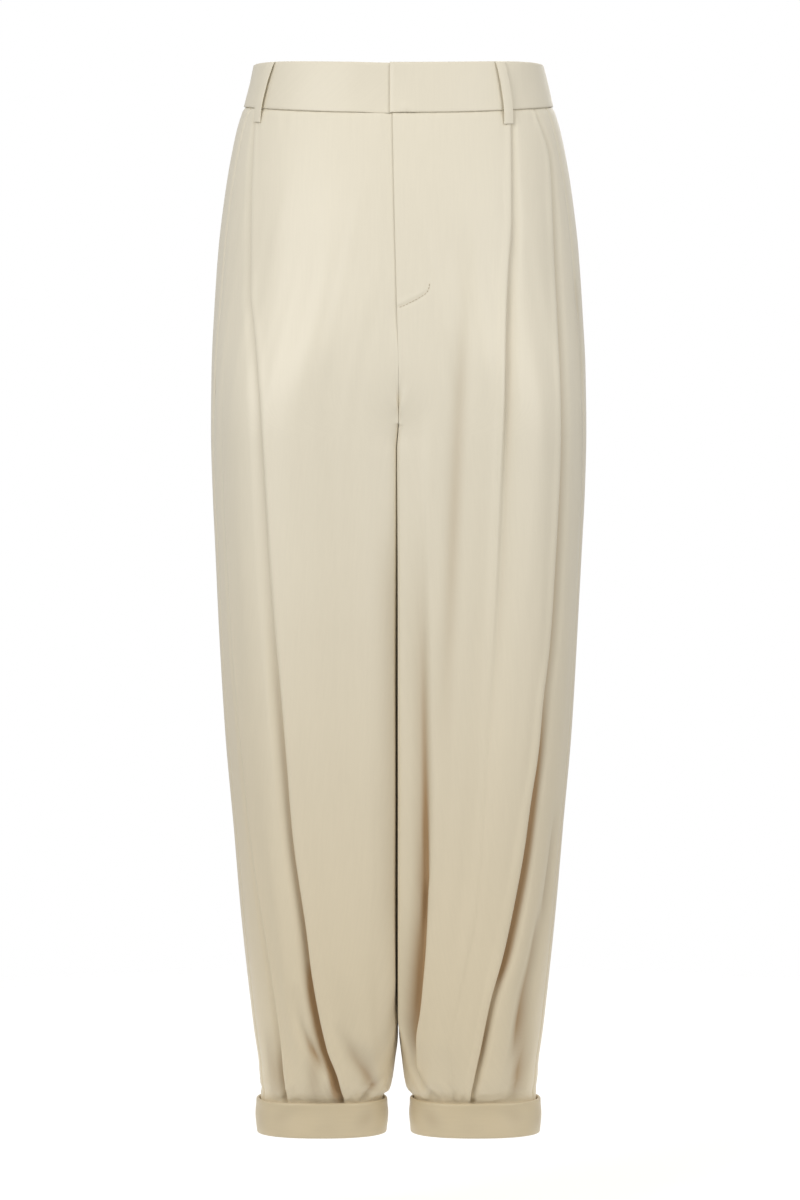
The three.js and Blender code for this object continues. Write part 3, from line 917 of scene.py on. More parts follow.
LEFT_SWELLS = (
    Swell(((330, 24, 0, 8), (430, 21, 1.0, 8), (515, 21, 3.0, 7.5), (606, 21.5, 5.6, 7),
           (700, 22.5, 7.4, 6.8), (790, 21.5, 9.5, 6.5), (836, 18.5, 9.5, 6.2), (882, 15.2, 9, 6),
           (928, 12.8, 7, 5), (950, 12.5, 4, 5), (968, 20, 3.5, 5), (985, 37, 2.5, 4))),
    Swell(((150, 62, 0, 14), (240, 59, 1.6, 11), (331, 56, 3.6, 10), (441, 51, 4.2, 10),
           (515, 48, 3.8, 10), (606, 44, 2.8, 11), (700, 42, 1.0, 12), (800, 40, 0, 12))),
    Swell(((300, 80, 0, 10), (420, 76, 1.0, 10), (560, 72, 1.4, 12), (700, 66, 1.2, 12),
           (840, 55, 0, 10))),
    Swell(((340, 30, 0, 8), (420, 27, -1.2, 7), (500, 30, -0.8, 8), (620, 32, 0, 9))),
    Swell(((690, 148, 0, 7), (747, 145, 4, 7), (794, 139, 5, 8), (840, 129, 5.5, 8),
           (886, 118.5, 6.5, 8), (930, 115, 8, 7), (954, 112.5, 8, 7), (982, 108, 4.5, 7),
           (995, 106, 0, 6))),
    Swell(((840, 92, 0, 13), (910, 92, -2.2, 12), (960, 88, -2.4, 11), (985, 86, 0, 9))),
    Swell(((700, 8, 0, 6), (850, 6, -1.2, 5), (930, 6, -1.0, 4), (960, 9, 0, 4))),
    Swell(((930, 50, 0, 10), (965, 52, 1.5, 8), (985, 53, 1.0, 6), (995, 54, 0, 6))),
)
RIGHT_SWELLS = (
    Swell(((380, 6, 0, 12), (478, 5, 3.0, 13), (606, 4, 5.5, 13), (868, 4, 5.5, 12),
           (925, 12, 2.0, 11), (960, 24, 0, 10))),
    Swell(((905, 58, 0, 6), (925, 50, 1.8, 7), (948, 38, 2.8, 8), (966, 25, 2.6, 8),
           (982, 17, 1.6, 7), (990, 14, 0, 6))),
    Swell(((925, 36, 0, 8), (950, 28, 1.6, 11), (968, 27, 2.0, 11), (984, 30, 1.2, 8))),
    Swell(((958, 14, 0, 5), (968, 17, 1.4, 5.5), (976, 24, 2.4, 5), (984, 32, 2.4, 5),
           (992, 36, 0, 5))),
    Swell(((620, 130, 0, 9), (735, 120, -2.0, 10), (868, 103, -2.6, 10), (900, 100, -2.2, 10),
           (950, 90, 0, 8))),
    Swell(((240, 60, 0, 22), (400, 60, 1.2, 24), (600, 56, 1.0, 24), (780, 50, 0, 20))),
    Swell(((850, 60, 0, 16), (930, 44, 1.4, 12), (975, 42, 0, 9))),
    Swell(((870, 98, 0, 6), (906, 92, 3, 5), (933, 81.5, 4.2, 4.5), (945, 75, 3.5, 4),
           (962, 68, 0, 4))),
)
SIDE_HOLLOW = Swell(((225, 171, 0, 5), (265, 172, 1.2, 5.5), (330, 172.5, 1.6, 6), (400, 171.5, 1.4, 6),
                     (455, 170, 0, 5)))
# Painted shade only: these swells darken the cloth's colour where a fold's shade would fall, and don't move
# the cloth
SIDE_SHADE = Swell(((190, 165, 0, 9), (235, 167.5, 3.4, 11), (330, 171, 3.8, 12), (400, 171.5, 3.2, 12),
                    (490, 168, 0, 9)))
LEFT_SHADES = (
    SIDE_SHADE,
    Swell(((600, 141, 0, 4), (682, 131.5, 3.0, 4.5), (724, 125.5, 4.2, 5), (766, 119, 4.6, 5),
           (808, 110.5, 4.6, 5), (845, 102.5, 4.2, 5), (890, 91, 3, 4.5), (930, 81, 2, 4), (960, 74, 0, 4))),
    Swell(((860, 128, 0, 7), (905, 125, 2.4, 9), (945, 122, 3.4, 10), (970, 118, 3.2, 10),
           (990, 114, 0, 9))),
)
# Painted shade only, on the right front: these swells darken the colour and don't move the cloth
RIGHT_SHADES = (
    Swell(((420, 15, 0, 8), (520, 15, 2.6, 8), (780, 15, 2.6, 8), (860, 17, 0, 8))),
    Swell(((850, 86, 0, 5), (886, 82, 3.2, 4.5), (907, 78.5, 2.6, 5), (927, 72, 2.0, 4),
           (946, 66.5, 3.0, 3.5), (964, 63, 5, 4), (979, 60, 6.5, 6), (990, 59, 5, 6))),
    Swell(((905, 84, 0, 8), (935, 81, 3.4, 8), (960, 79.5, 4.8, 8.5), (985, 78, 4.4, 9),
           (995, 78, 3, 9))),
    Swell(((905, 122, 0, 7), (930, 121, 4, 8), (955, 119, 5.2, 8.5), (975, 117, 4.5, 8),
           (990, 114, 2, 7))),
    Swell(((915, 36, 0, 12), (945, 30, 1.6, 14), (970, 27, 1.8, 14), (988, 27, 1.4, 12))),
)
SIDE_EDGE = Swell(((215, 168, 0, 4), (265, 168.5, -1.0, 4), (345, 169, -1.6, 4), (420, 168, -1.2, 4),
                   (500, 166, 0, 4)))
BACK_SWELLS = (
    Swell(((44, 118, 0, 7), (200, 138, 1.8, 11), (354, 146, 4, 11), (515, 141, 4.4, 11),
           (700, 125, 4.6, 10), (860, 112, 5.6, 9), (940, 104, 6.0, 8), (975, 101, 3, 7),
           (995, 100, 0, 6)), Face.BACK),
    Swell(((330, 24, 0, 12), (478, 20, 4.2, 11), (650, 24, 5.2, 10), (800, 22, 5.8, 10),
           (925, 25, 6.2, 9), (970, 30, 3.5, 8), (995, 34, 0, 7)), Face.BACK),
    Swell(((240, 48, 0, 14), (360, 50, 2.2, 15), (520, 52, 2.6, 15), (700, 48, 1.2, 14),
           (820, 46, 0, 12)), Face.BACK),
)


@dataclass(frozen=True)
class Drape:
    """Faint waves that run down a panel, so that no stretch of cloth is dead flat."""

    seed: int
    height: float = 0.34

    # How long each wave is, and on what drop it leans by one wave
    WAVES = ((58, 900), (37, 620), (24, 430), (15, 260))
    SWAY = 0.35
    FALLS = (60, 240)

    def lift(self, falls: np.ndarray, places: np.ndarray) -> np.ndarray:
        """The waves' lifts, rows by columns."""
        places = places - FORM.side_seam(falls)[:, None]
        draw = np.random.default_rng(self.seed)
        total = np.zeros_like(places)
        fall = falls[:, None]
        for length, drop in self.WAVES:
            turn = draw.uniform(0, 2 * math.pi)
            lean = draw.choice((-1, 1)) / drop
            sway = self.SWAY * np.sin(2 * math.pi * fall / (drop * 0.7) + draw.uniform(0, 6))
            wave = np.sin(2 * math.pi * (places / length + fall * lean) + turn + sway)
            total += wave * self.height * length / self.WAVES[0][0]
        return total * smooth(fall, *self.FALLS)


@dataclass(frozen=True)
class Gathers:
    """Small puckers that stand in a seam and die away from it."""

    seed: int
    seam: float
    reach: float
    height: float

    LENGTHS = (17.0, 11.3, 7.9)

    def lift(self, falls: np.ndarray, places: np.ndarray) -> np.ndarray:
        """The puckers' lifts, rows by columns."""
        draw = np.random.default_rng(self.seed)
        total = np.zeros_like(places)
        for length in self.LENGTHS:
            turn = draw.uniform(0, 2 * math.pi)
            total += np.sin(2 * math.pi * places / length + turn) * length / self.LENGTHS[0]
        away = bell((falls[:, None] - self.seam) / self.reach)
        return total * away * self.height


@dataclass
class ClothPanel:
    """One panel from the waist seam to inside the cuff."""

    side: Side
    face: Face
    material: bpy.types.Material
    pleats: tuple[Pleat | Anchor, ...]
    fills: tuple[int, ...]
    swells: tuple[Swell, ...]
    seed: int
    # Swells that only add painted fold shade to the colour and don't move the cloth
    shades: tuple[Swell, ...] = ()
    rows: int = 345
    wall: float = 0.8

    # Rows that come closer at both ends, and extra rows at the fly's foot and at the crotch
    EASE = 0.045
    FOOT_ROWS = (228.4, 250.4, 1.0)
    CROTCH_ROWS = (334.1, 378.1, 2.0)
    FILL_POWER = 1.5

    # The fly: the left front's lap, the right front's reach under it, and the J of stitches
    LAP = Curve((44, 150, 247, 300), (5.5, 3.6, 1.4, 0))
    LAP_END = 300.0
    UNDER = 4.0
    UNDER_FALLS = (FLY_END - 12, FLY_END + 16)
    UNDER_SINK = 1.7
    STEP_RUN = 14.0
    FOOT = Curve((205, 222, 229, 233, 237.5, 242, 245, 247), (29.6, 28.8, 27.6, 25.4, 19.2, 11, 5, 0))
    WELT = 0.4
    WELT_HALF = 1.6
    WELT_START = (205, 228)
    # The full strip beside the stitches: its height, how far in it lies and its half width
    FULL = (0.6, 4.0, 3.2)

    # The pocket's mouth: where it starts and ends, and how far it stands open
    MOUTH = (262.0, 380.0, 3.4)

    # Edges: the gap at the side seam, and how they roll in at their seams
    SIDE_GAP = 0.02
    CENTRE_GAP = 0.1
    ROLL = 1.5
    ROLL_DEPTH = 1.3
    GROOVE = 0.2
    WAIST_SINK = 1.2
    WAIST_RUN = 1.6

    # Where the legs touch: how each is pressed on, and how both lean
    PRESS = {Side.LEFT: (8.0, 20.0), Side.RIGHT: (6.0, 22.0)}
    PRESS_FALLS = (CROTCH - 48, CROTCH - 12, 905.0, 950.0)
    PRESS_DEPTHS = (10, 60)
    TOUCH = 0.15
    LEAN = 2.5
    LEAN_FALLS = (CROTCH - 2, CROTCH + 24, 900.0, 945.0)
    LEAN_DEPTHS = (6, 13, 60)
    LEAN_SHARES = (0.65, 0.35)
    LEAN_HALF = 11.0
    VALLEY = 5.0
    BRIDGE_FALLS = (316.0, 335.0)
    BRIDGE_SHARE = 0.8

    # The depth at which a fold takes its full painted shade, and how fast the painted shade comes
    FOLD_FULL = 7.5
    FOLD_POWER = 1.45

    # Calm edges, puckers in the seams, and the room under the cuff
    CALM = 12.0
    HEM_PUCKER = (LEG_END - 12, 16.0, 0.55)
    WAIST_PUCKER = (46.0, 16.0, 0.14)
    CUFF_ROOM = (LEG_END - 12, LEG_END - 8)
    SMOOTH_ANGLE = 70.0

    # What a pleat and the cloth's waves take of the flat cut
    PLEAT_TAKE_UP = 12.0
    WAVE_TAKE_UP = 1.01

    @property
    def name(self) -> str:
        """The panel's own name and its solid's."""
        return f"{self.face.value}_{self.side.word}"

    def falls(self) -> np.ndarray:
        """The rows' falls, closer at the waist seam and at the cuff."""
        share = np.linspace(0, 1, self.rows)
        eased = share + self.EASE * np.sin(2 * math.pi * share)
        falls = PANEL_TOP + (LEG_END - PANEL_TOP) * eased
        extra = (np.arange(*self.CROTCH_ROWS), np.arange(*self.FOOT_ROWS))
        return np.unique(np.concatenate((falls, *extra)))

    def edges(self, falls: np.ndarray) -> tuple[np.ndarray, np.ndarray]:
        """The places of the panel's first and last columns.

        Args:
            falls: one fall for each row.

        Returns:
            First and last places.
        """
        seam = FORM.side_seam(falls)
        start, end, most = self.MOUTH
        share = np.clip((falls - start) / (end - start), 0, 1)
        mouth = most * np.sin(math.pi * share) ** 2
        if self.face is Face.BACK:
            return seam + self.SIDE_GAP, FORM.length(falls)
        lap = self.LAP.at(falls)
        if self.side is Side.LEFT:
            first = np.where(falls < self.LAP_END, -lap, self.CENTRE_GAP)
        else:
            under = self.UNDER * (1 - smooth(falls, *self.UNDER_FALLS))
            first = lap + self.CENTRE_GAP - under
        return first, seam - self.SIDE_GAP - mouth

    def columns(self, falls: np.ndarray) -> tuple[np.ndarray, np.ndarray, np.ndarray]:
        """Lays the panel's columns: its edges, its pleats and plain cloth between them.

        Args:
            falls: one fall for each row.

        Returns:
            Plain places, places where the cloth lies, and lifts, rows by columns.
        """
        first, last = self.edges(falls)
        blocks = [pleat.lay(falls) for pleat in self.pleats]
        starts = [first] + [plain[:, -1] for plain, _, _ in blocks]
        ends = [plain[:, 0] for plain, _, _ in blocks] + [last]
        plains, places, lifts = [], [], []
        for i, (start, end) in enumerate(zip(starts, ends)):
            at_start, at_end = i == 0, i == len(blocks)
            share = np.linspace(0, 1, self.fills[i] + 2)
            share = share[(0 if at_start else 1) : (None if at_end else -1)]
            if at_start:
                share = share**self.FILL_POWER
            if at_end:
                share = 1 - (1 - share) ** self.FILL_POWER
            fill = start[:, None] + (end - start)[:, None] * share[None, :]
            plains.append(fill)
            places.append(fill)
            lifts.append(np.zeros_like(fill))
            if i < len(blocks):
                for kept, block in zip((plains, places, lifts), blocks[i]):
                    kept.append(block)
        return tuple(np.concatenate(kept, axis=1) for kept in (plains, places, lifts))

    def seam_lift(self, falls: np.ndarray, places: np.ndarray) -> np.ndarray:
        """How the panel's edges roll in at their seams.

        Args:
            falls: one fall for each row.
            places: places, rows by columns.

        Returns:
            Lifts, rows by columns.
        """
        first, last = self.edges(falls)
        from_side = places - first[:, None]
        if self.face is Face.FRONT:
            from_side = last[:, None] - places
        lift = -self.ROLL_DEPTH * bell(from_side / self.ROLL)
        lift -= self.WAIST_SINK * bell((falls[:, None] - PANEL_TOP) / self.WAIST_RUN)
        if self.face is Face.FRONT and self.side is Side.RIGHT:
            closed = 1 - smooth(falls, FLY_END + 2, FLY_END + 45)
            lap = self.LAP.at(falls)
            run = np.clip(1 - (places - lap[:, None]) / self.STEP_RUN, 0, 1)
            lift -= self.UNDER_SINK * closed[:, None] * run * run * (3 - 2 * run)
        return lift

    def centre_groove(self, falls: np.ndarray, places: np.ndarray) -> np.ndarray:
        """How far the cloth dips straight in at the centre seam.

        Args:
            falls: one fall for each row.
            places: places, rows by columns.

        Returns:
            Ways towards the back, rows by columns.
        """
        first, last = self.edges(falls)
        whole = 1 - smooth(falls, CROTCH - 20, CROTCH + 6)[:, None]
        if self.face is Face.BACK:
            return -self.ROLL_DEPTH * bell((last[:, None] - places) / self.ROLL) * whole
        open_from = smooth(falls, FLY_END + 4, FLY_END + 40)[:, None]
        return self.GROOVE * bell((places - first[:, None]) / self.ROLL) * whole * open_from

    def press(self, falls: np.ndarray, points: np.ndarray) -> np.ndarray:
        """How far the leg's inner corners are pressed towards the other leg.

        Args:
            falls: one fall for each row.
            points: the panel's points before they are mirrored, rows by columns by 3.

        Returns:
            Ways towards the centre, rows by columns.
        """
        way = np.maximum(points[..., 0] - self.TOUCH, 0)
        corner = way * (1 - smooth(way, *self.PRESS[self.side]))
        start, full, fading, end = self.PRESS_FALLS
        part = smooth(falls, start, full) * (1 - smooth(falls, fading, end))
        return corner * part[:, None] * smooth(np.abs(points[..., 1]), *self.PRESS_DEPTHS)

    def lean(self, falls: np.ndarray, points: np.ndarray) -> np.ndarray:
        """How the two legs lean into each other where they touch, the same for both.

        Args:
            falls: one fall for each row.
            points: the panel's points, rows by columns by 3.

        Returns:
            Ways across, rows by columns.
        """
        deep = self.depth(falls, points)
        near_by, middle, far = self.LEAN_DEPTHS
        first, second = self.LEAN_SHARES
        sway = 1 - first * smooth(deep, near_by, middle) - second * smooth(deep, middle, far)
        start, full, fading, end = self.LEAN_FALLS
        part = smooth(falls, start, full) * (1 - smooth(falls, fading, end))
        near = bell(points[..., 0] / self.LEAN_HALF)
        return self.LEAN * np.sign(points[..., 1]) * sway * near * part[:, None]

    def depth(self, falls: np.ndarray, points: np.ndarray) -> np.ndarray:
        """How deep points lie behind the foremost or the rearmost line of their rows."""
        reach = FORM.front if self.face is Face.FRONT else FORM.back
        return reach.at(falls)[:, None] - np.abs(points[..., 1])

    def shallow(self, falls: np.ndarray, points: np.ndarray) -> np.ndarray:
        """How far the cloth bridges the valley above the crotch, towards the front or the back.

        Args:
            falls: one fall for each row.
            points: the panel's points, rows by columns by 3.

        Returns:
            Ways towards the front or the back, rows by columns.
        """
        over = np.maximum(self.depth(falls, points) - self.VALLEY, 0)
        rows = self.BRIDGE_SHARE * smooth(falls, *self.BRIDGE_FALLS) * (falls < CROTCH)
        near = 1 - smooth(np.abs(points[..., 0]), 1, 4)
        return np.sign(points[..., 1]) * over * rows[:, None] * near

    def fly_welt(self, falls: np.ndarray, places: np.ndarray) -> np.ndarray:
        """How the J-shaped row of stitches pulls the left front in, with the facing full beside it.

        Args:
            falls: one fall for each row.
            places: places, rows by columns.

        Returns:
            Lifts, rows by columns.
        """
        edge = self.FOOT.at(falls)[:, None]
        slope = np.gradient(edge[:, 0], falls)[:, None]
        across = (places - edge) / np.sqrt(1 + slope * slope)
        sewn = smooth(falls, *self.WELT_START) * (1 - smooth(falls, FLY_END - 1, FLY_END + 1))
        height, way_in, half = self.FULL
        full = height * bell((across + way_in) / half)
        return self.WELT * sewn[:, None] * (full - bell(across / self.WELT_HALF))

    def build(self) -> bpy.types.Object:
        """Models the panel.

        Returns:
            The finished piece.
        """
        falls = self.falls()
        plains, places, lifts = self.columns(falls)
        lift = lifts.copy()
        for swell in self.swells:
            lift += swell.lift(falls, plains)
        # Painted fold shade: the deeper a point lies in a fold, with the shade-only swells added, the darker
        # its colour is painted
        shade = sum((swell.lift(falls, plains) for swell in self.shades), lift)
        painted_shade_share = np.clip(-shade / self.FOLD_FULL, 0, 1)
        first, last = self.edges(falls)
        inside = np.minimum(plains - first[:, None], last[:, None] - plains)
        calm = smooth(inside, 0, self.CALM)
        lift += Drape(self.seed).lift(falls, plains) * calm
        lift += Gathers(self.seed + 1, *self.HEM_PUCKER).lift(falls, plains) * calm
        lift += Gathers(self.seed + 2, *self.WAIST_PUCKER).lift(falls, plains) * calm
        lift += self.seam_lift(falls, places)
        if self.face is Face.FRONT and self.side is Side.LEFT:
            lift += self.fly_welt(falls, plains)
        room = smooth(falls, *self.CUFF_ROOM)[:, None]
        lift = np.where(lift > 0, lift * (1 - room), lift)
        points, outward = FORM.at(falls, places)
        points = points + outward * lift[..., None]
        points[..., 1] += self.centre_groove(falls, places)
        points[..., 0] -= self.press(falls, points)
        points[..., 1] += self.shallow(falls, points)
        points[..., 0] *= self.side.value
        points[..., 0] += self.lean(falls, points)
        flat = np.stack((plains, np.broadcast_to(falls[:, None], plains.shape)), axis=-1)
        piece = grid_piece(f"{self.name}_cloth", points, flat, painted_shade_share**self.FOLD_POWER)
        turn_outwards(piece, (0.07 * self.side.value, 0.0, -0.5))
        thicken(piece, self.wall)
        soften(piece, self.SMOOTH_ANGLE)
        dress(piece, self.material, self.name)
        self.declare(falls, plains)
        return piece

    def declare(self, falls: np.ndarray, plains: np.ndarray) -> None:
        """Works out the size and area of the flat cut that the panel comes from.

        Args:
            falls: one fall for each row.
            plains: plain places, rows by columns.
        """
        width = plains[:, -1] - plains[:, 0]
        take_up = self.PLEAT_TAKE_UP * sum(isinstance(pleat, Pleat) for pleat in self.pleats)
        cut_width = (width.max() + take_up) * MM
        cut_length = (falls[-1] - falls[0]) * self.WAVE_TAKE_UP * MM
        strips = (width[1:] + width[:-1]) / 2 + take_up
        area = float((strips * np.diff(falls)).sum()) * self.WAVE_TAKE_UP * MM * MM
        area = min(area, cut_width * cut_length)


@dataclass
class Waistband:
    """The band: one strip that laps itself left over right at the centre front."""

    material: bpy.types.Material
    columns: int = 330
    face_rows: int = 20
    edge_rows: int = 5
    thickness: float = 2.4
    sink_run: float = 40.0
    name: str = "waistband_cloth"

    # How round its top and lower edges are
    TOP_ROUND = 1.0
    LOW_START = BAND_DEPTH - 0.9
    LOW_ROUND = 0.8
    # How far its faces stand out, and how its outer face swells and waves
    PROUD = 0.2
    UNDER_GAP = 0.6
    END_ROUND = 1.6
    PUFF = 0.35
    WAVES = ((150, 0.35), (83, 0.22), (41, 0.12))
    WAVE_SHARE = 0.8
    # The small bump in the lap's lower corner: its height, then its middle and half width each way
    BUMP = 0.9
    BUMP_PLACE = (6.5, 4.2)
    BUMP_FALL = (40.0, 3.6)

    def section(self) -> tuple[np.ndarray, np.ndarray]:
        """The band's cross-section, once round: outside down, then inside up.

        Returns:
            Falls, and shares of the thickness from 0 outside to 1 inside.
        """
        face = np.linspace(self.TOP_ROUND, self.LOW_START, self.face_rows)
        half = math.pi / 2
        turn = np.linspace(-half, half, self.edge_rows + 2)[1:-1]
        low = self.LOW_START + self.LOW_ROUND * np.cos(turn)
        low_share = 0.5 + 0.5 * np.sin(turn)
        top = self.TOP_ROUND * (1 - np.cos(turn))
        falls = np.concatenate((face, low, face[::-1], top, face[:1]))
        ones = np.ones(self.face_rows)
        shares = np.concatenate((0 * ones, low_share, ones, 1 - low_share, [0.0]))
        return falls, shares

    def build(self) -> bpy.types.Object:
        """Models the band.

        Returns:
            The finished piece.
        """
        falls, shares = self.section()
        length = FORM.length(falls)
        round_it = 2 * length[:, None]
        walked = np.linspace(0, 1, self.columns)[None, :] * (round_it + BAND_UNDERLAP)
        place = walked - BAND_LAP
        signed = np.where(place <= round_it / 2, place, place - round_it)
        under = smooth((walked - round_it + self.sink_run) / self.sink_run, 0, 1)
        sink = -(self.thickness + self.UNDER_GAP) * under
        ends = np.minimum(walked, round_it + BAND_UNDERLAP - walked)
        pinch = np.clip(ends / self.END_ROUND, 0, 1)
        full = np.sqrt(1 - (1 - pinch) ** 2)
        centre = -self.thickness / 2
        out = centre + (0.5 - shares[:, None]) * self.thickness * full
        outer = smooth(0.6 - shares[:, None], 0, 0.4)
        draw = np.random.default_rng(5)
        wave = np.zeros_like(walked)
        for length_of_wave, size in self.WAVES:
            wave += size * np.sin(2 * math.pi * walked / length_of_wave + draw.uniform(0, 6))
        rise = np.sin(math.pi * np.clip(falls / BAND_DEPTH, 0, 1))[:, None]
        puff = self.PUFF * rise + self.WAVE_SHARE * wave * rise
        bump_across = bell((place - self.BUMP_PLACE[0]) / self.BUMP_PLACE[1])
        bump_down = bell((falls[:, None] - self.BUMP_FALL[0]) / self.BUMP_FALL[1])
        bump = self.BUMP * bump_across * bump_down
        lift = self.PROUD + out + sink + outer * (puff + bump) * (1 - under)
        points, outward = FORM.at(falls, signed)
        points = points + outward * lift[..., None]
        down = np.cumsum(np.r_[0, np.abs(np.diff(falls))])
        flat = np.stack((walked, np.broadcast_to(down[:, None], walked.shape)), axis=-1)
        piece = grid_piece(self.name, points, flat, np.zeros_like(walked))
        close_tube(piece)
        soften(piece, 60)
        dress(piece, self.material, "waistband")
        middle = np.array([BAND_DEPTH / 2])
        total = float(2 * FORM.length(middle)[0] + BAND_UNDERLAP) * MM
        return piece


@dataclass(frozen=True)
class BeltLoop:
    """A strip of cloth laid over the band and sewn down at both ends."""

    node: str
    side: Side
    face: Face
    top: float
    bottom: float
    material: bpy.types.Material
    lean: float = 0.0
    width: float = 9.4
    thickness: float = 1.3
    rows: int = 64
    columns: int = 41

    # Falls along the loop, and how far it stands off the band there
    PATH = (
        (0.4, 0.2),
        (1.2, 1.2),
        (4, 2.0),
        (10, 2.8),
        (22, 3.4),
        (36, 3.4),
        (46, 2.8),
        (52, 1.9),
        (56, 1.1),
        (58, 0.8),
    )
    # How square its section is, rows that each end takes to close, and how its end flares
    SQUARE = (0.4, 0.45)
    END_ROWS = 4
    FLARE = 0.05
    FLARE_FALLS = (50, 58)
    # The grooves of its two rows of edge stitches: depth, share of the width and half width
    GROOVE = (0.12, 0.72, 0.1)
    PROUD = 0.2
    FLAT = (0.0105, 0.066)

    def build(self) -> bpy.types.Object:
        """Models the loop.

        Returns:
            The finished piece.
        """
        reach, off = curves([(i, *row) for i, row in enumerate(self.PATH)])
        step = np.linspace(0, len(self.PATH) - 1, self.rows)
        falls = reach.at(step)
        lifts = off.at(step)
        share = np.clip(falls / self.PATH[-1][0], 0, 1)
        across = self.top + (self.bottom - self.top) * (share + self.lean * share * (1 - share))
        if self.face is Face.BACK and self.bottom == 0:
            middle = FORM.length(falls)
        else:
            middle = FORM.place_across(falls, across, self.face)
        turn = np.linspace(0, 2 * math.pi, self.columns)
        cosine, sine = np.cos(turn), np.sin(turn)
        wide = np.sign(cosine) * np.abs(cosine) ** self.SQUARE[0]
        out = np.sign(sine) * np.abs(sine) ** self.SQUARE[1]
        row = np.arange(self.rows)
        ends = np.minimum(row, row[::-1]) / self.END_ROWS
        full = np.sqrt(1 - (1 - np.clip(ends, 0, 1)) ** 2)[:, None]
        flare = 1 + self.FLARE * smooth(falls, *self.FLARE_FALLS)[:, None]
        place = middle[:, None] + wide[None, :] * self.width / 2 * flare * (0.965 + 0.035 * full)
        length = FORM.length(falls)[:, None]
        place = np.where(place > length, place - 2 * length, place)
        deep, from_middle, half = self.GROOVE
        groove = deep * bell((np.abs(wide[None, :]) - from_middle) / half)
        lift = lifts[:, None] + self.PROUD + out[None, :] * (self.thickness / 2 - groove) * full
        points, outward = FORM.at(falls, place)
        points = points + outward * lift[..., None]
        points[..., 0] *= self.side.value
        wide_flat = np.broadcast_to(wide[None, :] * self.width, place.shape)
        flat = np.stack((wide_flat, np.broadcast_to(falls[:, None], place.shape)), axis=-1)
        piece = grid_piece(f"{self.node}_strip", points, flat, np.zeros_like(place))
        close_tube(piece, 0.02)
        soften(piece, 60)
        dress(piece, self.material, self.node)
        return piece


